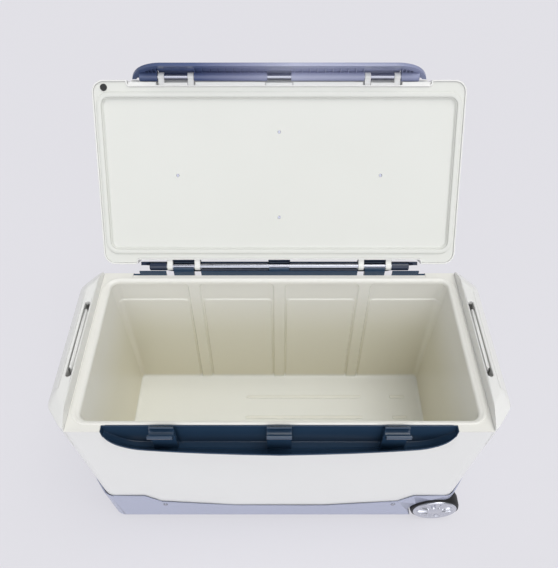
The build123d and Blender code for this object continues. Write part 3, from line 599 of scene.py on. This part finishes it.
# crest profile: drafted wall, soft fold, slope of 45 degrees, soft fold, flat crest
cap_low_z, crest_z = 345, 428
cap_rings = [cap_ring(z, 0, 0, z) for z in (cap_low_z, 400, 408)]
for z, inset, edge in (
    (410.2, 0.3, 0), (412.4, 1.3, 0), (414.4, 2.9, 0), (423.2, 11.4, 0), (425.4, 13.4, 0.1),
    (426.8, 15.3, 0.5), (427.6, 17, 1.1), (crest_z, 19, 2.2),
):
    cap_rings.append(cap_ring(z, inset, edge, 412))
cap_rings += [
    slot_ring(crest_z, 83, 6.2), slot_ring(427.7, 82, 5.5), slot_ring(426.9, 81.2, 5),
    slot_ring(419, 81, 5), slot_ring(418.6, 93, 6.4), slot_ring(cap_low_z, 93, 6.4),
]
cap_shell = loft(cap_rings, loop=True)


def carve(piece, tool, operation):
    """Cuts a piece by another and removes the cutter."""
    cut = piece.modifiers.new("cut", "BOOLEAN")
    cut.operation = operation
    cut.object = tool
    cut.solver = "EXACT"
    settle(piece)
    bpy.data.objects.remove(tool)
    return piece


# the cover is the cap's outer middle, cut free of it with a gap of 0.4 mm
cover_x, cover_half_y = 366, 103
for side, name in ((-1, "left"), (1, "right")):
    for node, label, operation, gap in (
        (f"end_cap_{name}", f"cap_{name}", "DIFFERENCE", 0),
        (f"handle_cover_{name}", f"cover_{name}", "INTERSECT", 0.4),
    ):
        piece = moulding(label, [cap_shell], Matrix.Diagonal((side, 1, 1, 1)))
        reach_y = cover_half_y - gap
        room = slab(side * (cover_x + gap), side * 500, -reach_y, reach_y, 300, 500)
        even_shading(carve(piece, moulding("cover_room", [room]), operation), 32)
        fit(piece, cream_shell, "body", "shell_plastic", node)


def polished(node, name, sharp=30):
    """A CAD node's mesh, welded, smooth round its curves and sharp at its edges."""
    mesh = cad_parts[node].data.copy()
    mesh.materials.clear()
    work = bmesh.new()
    work.from_mesh(mesh)
    bmesh.ops.remove_doubles(work, verts=work.verts, dist=0.004 * MM)
    work.to_mesh(mesh)
    work.free()
    return even_shading(new_object(name, mesh), sharp)


def as_drawn(node, name, material, body, slot):
    """Piece whose form is the CAD node's own."""
    return fit(polished(node, name), material, body, slot, node)


# the sliding handle: a flat bar of the same cream plastic
for name in ("left", "right"):
    as_drawn(f"carry_handle_{name}", f"handle_{name}", cream_shell, f"{name}_handle",
             "handle_plastic")

# ---------------------------------------------------------------- base skirt
# A separate moulding that carries the box, with raised ends over the wheels. It is screwed
# to the shell through its front face.

# ABS with a metallic flake: a pearl grey-blue with a soft gloss
pearl_skirt = moulded_plastic("pearl_abs_skirt", "#B4B9CF", "#ADB2C9", 0.24)
as_drawn("base_skirt", "skirt", pearl_skirt, "body", "skirt_plastic")

# ---------------------------------------------------------------- hook rails
# Dark blue gloss ABS troughs screwed along both long rims, shaped like the hull of a boat.
# Each has three open claws that the lid's rods snap into.

# navy ABS from a polished mould: an inky blue with clear highlights
navy_rail = moulded_plastic("navy_abs_rail", "#2C445E", "#253A51", 0.25)
rod_y, rod_z = 178, 417
claw_places = (-189, 0, 189)


def through(table, place):
    """Smooth value at a place from a table of places and values."""
    index = min(sum(spot <= place for spot, value in table), len(table) - 1) - 1
    (low, start), (high, end) = table[index], table[index + 1]
    before, after = table[max(index - 1, 0)], table[min(index + 2, len(table) - 1)]
    span = high - low
    share = (place - low) / span
    leave = span * (end - before[1]) / (high - before[0])
    arrive = span * (after[1] - start) / (after[0] - low)
    square, cube = share * share, share * share * share
    return (
        start * (2 * cube - 3 * square + 1) + leave * (cube - 2 * square + share)
        + end * (3 * square - 2 * cube) + arrive * (cube - square)
    )


# the trough's lip and bed along its length: flat in the middle, rising to blunt ends
lip_reach = [(0, 196), (80, 194.3), (150, 191.7), (214, 188.4), (238, 186.6), (256, 184),
             (268, 181.6), (277, 178.6), (284, 175), (290, 170.4)]
lip_height = [(0, 373), (150, 373.5), (214, 374.5), (238, 375.5), (256, 378.5), (268, 382),
              (277, 385.5), (284, 389), (290, 393)]
bed_height = [(0, 349), (214, 349), (238, 351), (256, 357), (268, 366), (277, 375), (284, 383),
              (290, 390.5)]
rail_inner_y, rail_face_y = 157.9, 160.5


def rail_lines(x):
    """Reach and height of the trough's lip, height of its bed and its depth at a place."""
    lip_y, lip_z, bed_z = (through(table, abs(x)) for table in (lip_reach, lip_height, bed_height))
    return lip_y, lip_z, bed_z, lip_y - rail_face_y


def rail_hull(x):
    """Underside of the trough at a place, from the lip back to the box."""
    lip_y, lip_z, bed_z, depth = rail_lines(x)
    return [
        (lip_y, lip_z - 1), (lip_y - 0.3, lip_z - 2.2),
        (rail_face_y + depth * 0.42, bed_z - 0.4), (rail_face_y + depth * 0.34, bed_z - 2.1),
        (rail_face_y + depth * 0.22, bed_z - 2.5), (rail_inner_y, bed_z - 2.5),
    ]


def rail_section(x):
    """Section of the trough: back wall, narrow floor, sloping front wall, lip and hull."""
    lip_y, lip_z, bed_z, depth = rail_lines(x)
    nook = min(1.4, depth * 0.2)
    points = [(rail_inner_y, 404.2), (158.3, 404.8), (159.1, 405), (160, 404.8), (160.4, 404.2)]
    for turn in (radians(18 * step) for step in range(6)):
        points.append((rail_face_y + nook * (1 - cos(turn)), bed_z + nook * (1 - sin(turn))))
    foot_y, foot_z = rail_face_y + depth * 0.36, bed_z + 0.8
    run_y, run_z = lip_y - 2.6 - foot_y, lip_z - 1.2 - foot_z
    points += [(foot_y - depth * 0.08, bed_z + 0.1), (foot_y, foot_z)]
    for share in (0.15, 0.4, 0.7, 1):
        bend = 1.6 * sin(pi * share) * 0.6
        points.append((foot_y + run_y * share + bend, foot_z + run_z * share - bend))
    points += [(lip_y - 2.1, lip_z - 0.3), (lip_y - 1.3, lip_z), (lip_y - 0.5, lip_z - 0.3)]
    return points + rail_hull(x)


rail_places = [0, 60, 120, 160, 190, 202, 214, 224, 233, 241, 248, 254, 260, 265, 269.5]
rail_places += [273.5, 277, 280.5, 283.5, 286, 288, 289.6]
rail_places = [-x for x in rail_places[:0:-1]] + rail_places



def arc(radius, start, end, steps, middle=(0, 0)):
    """Points of an arc between two angles in degrees."""
    turns = [radians(start + (end - start) * step / steps) for step in range(steps + 1)]
    return [(middle[0] + radius * cos(turn), middle[1] + radius * sin(turn)) for turn in turns]


# claw: a foot on the rail's wall, an open ring of 220 degrees and two rounded lips
claw_half, claw_outer, claw_bore = 20, 10.4, 6.1
claw_profile = [(183.7, 419.3), (184.3, 420.5), (185.6, 421.2), (187, 420.8), (187.8, 419.6)]
claw_profile += arc(claw_outer, 14, -104, 14, (rod_y, rod_z))
claw_profile += [(174.6, 402), (174, 396), (174, 348), (167, 348), (167, 412)]
claw_profile += [(167.6, 416), (168.2, 419.4), (169.4, 420.8), (170.8, 421.2), (171.8, 420.5)]
claw_profile.append((172.3, 419.3))
claw_profile += arc(claw_bore, 158, 382, 14, (rod_y, rod_z))[1:-1]

# strips on the rear rail close the gap beside the lid: high ones cut for the lid's lugs
# and a low one at each end
strip_low_z, strip_top_z, strip_end_z = 402.6, 415.6, 406.8
rear_strips = [(low_x, high_x, strip_top_z) for low_x, high_x in (
    (-276, -223.5), (-208.5, -169.5), (-154.5, 154.5), (169.5, 208.5), (223.5, 276),
)]
rear_strips += [(-288, -275, strip_end_z), (275, 288, strip_end_z)]
seat_places = (212, 220, 228, 235, 241, 247, 253, 259, 265, 271, 277, 283, 290.6)
seat_depths = (158.2, 161, 163.5, 166, 168, 169.4)


def seat_section(x):
    """Section of the shell's seat at a place, which fills up to just under the hull."""
    hull = rail_hull(x)
    top = []
    for y in seat_depths:
        spot = 0
        while spot < len(hull) - 2 and hull[spot + 1][0] > y:
            spot += 1
        (outer, high), (inner, low) = hull[spot], hull[spot + 1]
        share = min(max((outer - y) / (outer - inner), 0), 1)
        top.append((y, max(high + (low - high) * share - 0.3, 347)))
    return [(seat_depths[0], 346), (seat_depths[-1], 346)] + top[::-1]


for side, name in ((-1, "front"), (1, "rear")):
    rail_shells = [loft([[(x, side * y, z) for y, z in rail_section(x)] for x in rail_places])]
    for hand in (-1, 1):
        rail_shells.append(slab(hand * 289.1, hand * 290.1, side * 158.2, side * 170.4,
                                386, 404.2))
    for middle in claw_places:
        rail_shells.append(loft([
            [(x, side * y, z) for y, z in claw_profile]
            for x in (middle - claw_half, middle + claw_half)
        ]))
    for low_x, high_x, top_z in rear_strips if side > 0 else ():
        rail_shells.append(slab(low_x, high_x, 164.5, 167.2, strip_low_z, top_z))
    rail = moulding(f"rail_{name}", rail_shells, sharp=40)
    fit(rail, navy_rail, "body", "rail_plastic", f"{name}_hook_rail")
    # the shell rises to meet the hull where the rail turns up at its ends
    seat = moulding(f"rail_seat_{name}", [loft([
        [(hand * x, side * y, z) for y, z in seat_section(x)] for x in seat_places
    ]) for hand in (-1, 1)])
    fit(seat, cream_shell, "body", "shell_plastic")

# ---------------------------------------------------------------- lid
# A foam-filled lid: a cream outer shell with a latch recess along each long edge, and a
# pressed inner panel. Lugs on its long edges hold the two steel rods.
swing = radians(-125.5)
hinge = Matrix.Translation((0, rod_y, rod_z))
lid_place = hinge @ Matrix.Rotation(swing, 4, "X") @ hinge.inverted()
lid_half_x, lid_half_y, recess_half_x, recess_y = 344, 172, 278, 163


def lid_ring(inset, z):
    """Outline of the lid with its two latch recesses, drawn in by an inset."""
    x, y = lid_half_x - inset, lid_half_y - inset
    deep_x, deep_y = recess_half_x + inset, recess_y - inset
    corners = [(x, -y), (x, y), (deep_x, y), (deep_x, deep_y), (-deep_x, deep_y), (-deep_x, y)]
    corners += [(-px, -py) for px, py in corners]
    lip, nook = max(3 - inset, 0.5), 4 + inset
    radii = [22 - inset, 22 - inset, lip, nook, nook, lip] * 2
    return [(px, py, z) for px, py in soft_outline(corners, radii, 8)]


lid_shells = [loft([lid_ring(inset, z) for inset, z in (
    (3, 440), (3, 408.4), (2.7, 407.8), (2.1, 407.5), (0.9, 407.5), (0.3, 407.8), (0, 408.5),
    (0, 436), (0.5, 439.4), (1.8, 442.6), (3.8, 445.2), (6.4, 447), (9.4, 447.9), (11, 448),
)])]
lug_radius, lug_root_y, lug_root_half = 7.8, 160, 5.7
lug_profile = [(lug_root_y, rod_z + lug_root_half)]
lug_profile += arc(lug_radius, 133.2, -133.2, 24, (rod_y, rod_z))
lug_profile.append((lug_root_y, rod_z - lug_root_half))
lug_ends = ((-5.5, 1), (-5.2, 0.4), (-4.6, 0), (4.6, 0), (5.2, 0.4), (5.5, 1))
for lug_x in (-216, -162, 162, 216):
    for side in (-1, 1):
        rings = []
        for along, inset in lug_ends:
            shrink = 1 - inset / lug_radius
            rings.append([
                (lug_x + along,
                 side * (rod_y + (y - rod_y) * (shrink if y > lug_root_y + 1 else 1)),
                 rod_z + (z - rod_z) * shrink)
                for y, z in lug_profile
            ])
        lid_shells.append(loft(rings))
# closing strips in the front recess: under the hubs, under the hoods and along the roof
strip_low, strip_high, roof_low = 408.2, 436, 431.2
hub_reach, hood_reach, roof_reach = 168.1, 166.9, 173.6
front_strips = [(25.5, 153, hub_reach), (225, 276, hub_reach), (167.8, 210.2, hood_reach)]
front_strips += [(-high_x, -low_x, reach_y) for low_x, high_x, reach_y in front_strips]
for low_x, high_x, reach_y in front_strips + [(-24, 24, hood_reach)]:
    lid_shells.append(slab(low_x, high_x, -lug_root_y, -reach_y, strip_low, strip_high))
lid_shells.append(slab(-276, 276, -lug_root_y, -roof_reach, roof_low, strip_high))
lid_shell = moulding("lid_shell", lid_shells, lid_place)
fit(lid_shell, cream_shell, "lid", "shell_plastic", "lid_outer_shell")


def holed_plate(outline, hole, low, high):
    """Closed plate between two heights with a hole through it."""
    work = bmesh.new()
    for loop in (outline, hole):
        made = [work.verts.new((x, y, low)) for x, y in loop]
        for here, after in zip(made, made[1:] + made[:1]):
            work.edges.new((here, after))
    bmesh.ops.triangle_fill(work, edges=work.edges, use_beauty=True)
    grown = bmesh.ops.extrude_face_region(work, geom=list(work.faces))
    raised = [part for part in grown["geom"] if isinstance(part, bmesh.types.BMVert)]
    bmesh.ops.translate(work, verts=raised, vec=(0, 0, high - low))
    work.verts.index_update()
    points = [tuple(point.co) for point in work.verts]
    faces = [tuple(point.index for point in face.verts) for face in work.faces]
    work.free()
    return points, faces


def rounded_ring(half_x, half_y, radius, z, steps=8):
    """Rounded rectangle round the middle of the box at a height."""
    corners = [(half_x, -half_y), (half_x, half_y), (-half_x, half_y), (-half_x, -half_y)]
    return [(x, y, z) for x, y in soft_outline(corners, [radius] * 4, steps)]


# inner panel: flat flange, a groove for the seal, and a face sunk 4 mm with soft edges,
# in a whiter cream than the tub with the same satin gloss
cream_lid = moulded_plastic("cream_abs_lid", "#E6E7E2", "#E2E3DD", 0.26)
panel_edge = [(x, y) for x, y, z in lid_ring(3.3, 0)]
panel_hole = [(x, y) for x, y, z in rounded_ring(337.6, 151.1, 24, 0)]
panel_shells = [holed_plate(panel_edge, panel_hole, 410, 416.5)]
panel_shells.append(loft([rounded_ring(*size) for size in (
    (338.4, 151.9, 24.8, 416.5), (338.4, 151.9, 24.8, 411.2), (337.4, 150.9, 23.8, 412.2),
    (328.8, 142.3, 15.2, 412.2), (328.3, 141.8, 14.7, 410.3), (327.8, 141.3, 14.2, 410),
    (327.2, 140.7, 13.6, 410.1), (326.5, 140, 13, 410.9), (326, 139.5, 12.6, 412),
    (325.2, 138.7, 12.2, 413.1), (323.8, 137.3, 11.6, 413.8), (321.8, 135.3, 11, 414),
)]))
lid_panel = moulding("lid_panel", panel_shells, lid_place)
fit(lid_panel, cream_lid, "lid", "liner_plastic", "lid_inner_panel")

# seal: a soft cream bead pressed into the panel's groove, its face a low arch
seal_sizes = (
    (337.7, 412.2), (337.7, 409), (337.2, 407.9), (335.9, 407.1), (333, 406.8), (330.1, 407.1),
    (328.8, 407.9), (328.4, 409), (328.4, 412.2),
)
seal = moulding("lid_seal_bead", [loft(
    [rounded_ring(half, half - 186.5, half - 313.7, z) for half, z in seal_sizes], loop=True,
)], lid_place)
fit(seal, cream_lid, "lid", "seal_rubber", "lid_seal")

# ---------------------------------------------------------------- latch levers
# Long curved levers in gloss ABS that clip round the rods and pry them out of the claws.
# A broad rim and a row of small ribs stiffen their inner side, and hoods arch over the
# claws and the lid's lugs.
lean = radians(33)
window_half, lug_near, lug_far, hub_end = 21.5, 155.5, 222.5, 256
claw_x = claw_places[-1]
blade_half, blade_tall, pocket_half, pocket_tall, flat_half = 272, 36, 264, 21.6, 214


def lever_point(side, x, down, out):
    """Place on a shut lever from its rod: down the blade and out from it."""
    return (x, side * (rod_y + down * sin(lean) + out * cos(lean)),
            rod_z - down * cos(lean) + out * sin(lean))


def blade_face(down):
    """Height of the blade's outer face over the rod's axis, down the blade."""
    return 9.45 + 0.1236 * down - 0.00918 * down * down


def blade_end(x, half, tall, low):
    """How far down a blade reaches at a place; its corners are long and slow."""
    over = min(max(abs(x) - flat_half, 0) / (half - flat_half), 1)
    return low + (tall - low) * (1 - over ** 1.5) ** (1 / 1.5)


def pocket_end(x):
    """How far down the pocket behind a blade's ribs reaches at a place."""
    return blade_end(x, pocket_half, pocket_tall, -11)


def blade_start(x):
    """Where the blade begins below its rod, lower in the windows and beside the lugs."""
    if min(abs(x), abs(abs(x) - claw_x)) < window_half:
        return 17
    if lug_near < abs(x) < lug_far:
        return 11
    return 0 if abs(x) < hub_end else -9


def lever_bar(side, section, low, high):
    """Straight bar of one section along a lever."""
    return loft([[lever_point(side, x, down, out) for down, out in section] for x in (low, high)])


def blade_ring(side, x):
    """Section of the blade with its rim at a place."""
    end = blade_end(x, blade_half, blade_tall, -9)
    start = min(blade_start(x), end - 2)
    pocket = max(pocket_end(x), start + 1)
    tip, foot = blade_face(end), blade_face(pocket)
    section = [start + (end - 1 - start) * step / 8 for step in range(9)]
    section = [(down, blade_face(down)) for down in section]
    section += [
        (end - 0.3, tip - 0.35), (end, tip - 1.1), (end, tip - 6.3), (end - 0.4, tip - 7),
        (end - 0.9, tip - 7.1), (pocket + 0.2, foot - 7.1), (pocket, foot - 6.9),
        (pocket, foot - 3),
    ]
    inside = [start + (pocket - 0.6 - start) * step / 8 for step in range(8, -1, -1)]
    section += [(down, blade_face(down) - 2.6) for down in inside]
    return [lever_point(side, x, down, out) for down, out in section]


blade_places = {0, 60, 110, 140, 190, flat_half}
corner_run = blade_half - flat_half
blade_places |= {flat_half + corner_run * sin(radians(7.5 * step)) for step in range(1, 13)}
for edge in (window_half, lug_near, claw_x - window_half, claw_x + window_half, lug_far, hub_end):
    blade_places |= {edge - 0.02, edge + 0.02}
blade_places = sorted(blade_places)
blade_places = [-x for x in blade_places[:0:-1]] + blade_places
rib_places = {14 * step for step in range(-15, 16)}
rib_places |= {hand * (224 + 7 * step) for step in range(6) for hand in (-1, 1)}
rib_root, rib_tip, rib_thin, hood_half = 2.3, 6.8, 0.8, 33.2
hub_radius, hub_bore, hub_edge = 8.3, 6.25, 7.8
hub_clip = arc(hub_radius, -99, 99, 22) + arc(hub_bore, 104, -104, 22)
hood = arc(13.2, 119.5, 45.7, 10) + [(14, 9.2), (18, 8.9), (18, 6.3), (13, 6.7)]
hood += arc(11, 38.5, 126.2, 10)


def lever_shells(side):
    """All closed shells of one lever in its shut place."""
    made = [loft([blade_ring(side, x) for x in blade_places])]
    for x in sorted(rib_places):
        start = max(blade_start(x), 5) + 0.3
        end = min(21.2, pocket_end(x) - 0.4)
        if end > start + 2:
            section = [(down, blade_face(down) - depth) for down, depth in (
                (start, rib_root), (end, rib_root), (end, rib_tip), (start, rib_tip),
            )]
            made.append(lever_bar(side, section, x - rib_thin, x + rib_thin))
    for hand in (-1, 1):
        made.append(lever_bar(side, hub_clip, hand * 22, hand * lug_near))
        low, high = hand * (lug_far + 0.5), hand * hub_end
        inner, outer = low + hand * 0.6, high - hand * 0.6
        tube = ((low, hub_edge), (inner, hub_radius), (outer, hub_radius), (high, hub_edge),
                (high, hub_bore), (low, hub_bore))
        made.append(loft([
            [lever_point(side, x, down, out) for down, out in arc(radius, 0, 345, 23)]
            for x, radius in tube
        ], loop=True))
    for middle, half in zip(claw_places, (hood_half, window_half, hood_half)):
        made.append(lever_bar(side, hood, middle - half, middle + half))
    return made


# slate ABS under a hard gloss, with a painted reflection of the pale room: dark at the front
# lever's left end and growing to a pale lilac right of its middle
slate_painted_reflection = toned_plastic("slate_abs_lever_painted_reflection", "X", (-blade_half, blade_half), (
    (0, "#48567A"), (0.22, "#54618A"), (0.38, "#8A8FB0"), (0.55, "#B4B8D2"), (0.8, "#A2A7C4"),
    (1, "#8A90B0"),
), 0.16, 0.26)
# the rear lever shows the same slate ABS without the painted reflection
slate_lever = moulded_plastic("slate_abs_lever", "#27324B", "#212B42", 0.2)
for side, name, plastic, place in (
    (-1, "front", slate_painted_reflection, lid_place), (1, "rear", slate_lever, Matrix()),
):
    lever = moulding(f"latch_lever_{name}", lever_shells(side), place, sharp=38)
    fit(lever, plastic, f"{name}_lever", "lever_plastic", f"lever_{name}")

# ---------------------------------------------------------------- rods, axle and screws
# The 12 mm rods in the lid's lugs, which the claws hold and the levers turn on, the axle
# of the wheels, and the small screws and plugs.


def bright_metal(name, colour, haze, low_gloss, high_gloss):
    """Bare metal whose shine drifts, with so many cells of haze per metre on each axis."""
    material, tree = new_material(name)
    place = add_node(tree, "ShaderNodeTexCoord").outputs["Object"]
    cells = add_node(tree, "ShaderNodeMapping", {"Vector": place, "Scale": haze})
    drift = add_node(tree, "ShaderNodeTexNoise", {"Vector": cells, "Scale": 1.0, "Detail": 4})
    shine = add_node(tree, "ShaderNodeMapRange", {
        "Value": drift, "To Min": low_gloss, "To Max": high_gloss,
    })
    skin = add_node(tree, "ShaderNodeBsdfPrincipled", {
        "Base Color": linear(colour), "Metallic": 1.0, "Roughness": shine,
    })
    add_node(tree, "ShaderNodeOutputMaterial", {"Surface": skin})
    return material


# steel drawn along its length, whose fine lines spread each reflection round the rod
drawn_steel = bright_metal("drawn_steel", "#A9ABB6", (20, 900, 900), 0.16, 0.34)
for name in ("front", "rear"):
    as_drawn(f"lid_rod_{name}", f"rod_{name}", drawn_steel, "lid", "rod_steel")
as_drawn("wheel_axle", "axle", drawn_steel, "body", "rod_steel")
as_drawn("skirt_screws", "screws_skirt", drawn_steel, "body", "screw_steel")
as_drawn("lid_vent_plugs", "vents_lid", drawn_steel, "lid", "screw_steel")

# ---------------------------------------------------------------- wheels
# Two wheels under the right end: rubber tyres on black hubs, each closed by a bright cap
# with ten spokes.

# soot-black rubber, dull and dry, and the slightly lighter, glossier plastic of the hubs
rubber = moulded_plastic("black_tyre_rubber", "#08080A", "#0D0D10", 0.55, 0.05)
trim = moulded_plastic("black_trim_plastic", "#121316", "#18191C", 0.4, 0.04)
# plated plastic: a bright, faintly hazy mirror that sparkles on the spokes
bright_cap = bright_metal("bright_plated_cap", "#D0D2DB", (1 / 0.012,) * 3, 0.18, 0.22)
cap_profile = [
    (3, 5.6), (7, 5.5), (10.5, 5.1), (13, 4.3), (14.5, 3.7), (16, 3.6), (18, 3.7), (21, 3.8),
    (25, 3.8), (29, 3.7), (32, 3.5), (34.5, 3.3), (36.5, 3.1), (38, 2.9), (39.5, 3.2),
    (41, 3.5), (42.6, 3.4), (43.8, 2.8), (44.6, 1.8), (44.8, 0.4), (44.8, -1.6), (3, -1.6),
]
axle_x, axle_z, cap_face_y, hollow_depth = 323, 50, 173, 4.2


def spoked_ring(side, reach, rise):
    """Ring of a wheel cap with the hollows between its ten spokes."""
    ring = []
    hollow = min(max((reach - 14.5) / 4, 0), 1) * min(max((37.5 - reach) / 4, 0), 1)
    for step in range(120):
        turn = 2 * pi * step / 120
        wave = min(max(0.55 + 1.3 * cos(10 * turn), 0), 1)
        sunk = hollow_depth * hollow * wave * wave * (3 - 2 * wave) if rise > 0 else 0
        ring.append((axle_x + reach * cos(turn), side * (cap_face_y + rise - sunk),
                     axle_z + reach * sin(turn)))
    return ring


for side, name in ((-1, "front"), (1, "rear")):
    wheel = f"{name}_wheel"
    wheel_cap = moulding(f"cap_of_{name}", [loft([
        spoked_ring(side, reach, rise) for reach, rise in cap_profile
    ])], sharp=60)
    as_drawn(f"tyre_{name}", f"tyre_of_{name}", rubber, wheel, "tyre_rubber")
    as_drawn(f"wheel_hub_{name}", f"hub_of_{name}", trim, wheel, "trim_black")
    fit(wheel_cap, bright_cap, wheel, "cap_chrome", f"wheel_cap_{name}")

# ---------------------------------------------------------------- feet, plug and small parts
# Black rubber feet under the end without wheels, a black buffer in the lid's corner, and
# the drain low in the left end with its dark blue screw plug.
as_drawn("base_feet", "feet", trim, "body", "trim_black")
as_drawn("lid_bumper", "lid_buffer", trim, "lid", "trim_black")
as_drawn("drain_spout", "spout", cream_shell, "body", "shell_plastic")
as_drawn("drain_plug", "plug_knob", navy_rail, "plug", "rail_plastic")

# ---------------------------------------------------------------- insulation
# Closed-cell foam poured between the skins, with room for the tub and the rails. It only
# shows if a skin is taken off.

# polyurethane foam: a dry, matt straw yellow with fine cells
foam = moulded_plastic("closed_cell_foam", "#E8DFC0", "#E0D5B2", 0.8, 0.2)
body_foam = polished("body_foam", "foam_of_body")
tub_room = loft([tub_ring(floor_z, 0, 0, 3, 7, 76), tub_ring(rim_z, 0, 0, 3, 7, 420)])
rail_rooms = [slab(-293, 293, low_y, low_y + 19, 343, 410) for low_y in (-175, 156)]
for room in [tub_room] + rail_rooms:
    carve(body_foam, moulding("foam_room", [room]), "DIFFERENCE")
fit(body_foam, foam, "body", "foam", "body_foam")
as_drawn("lid_foam", "foam_of_lid", foam, "lid", "foam")
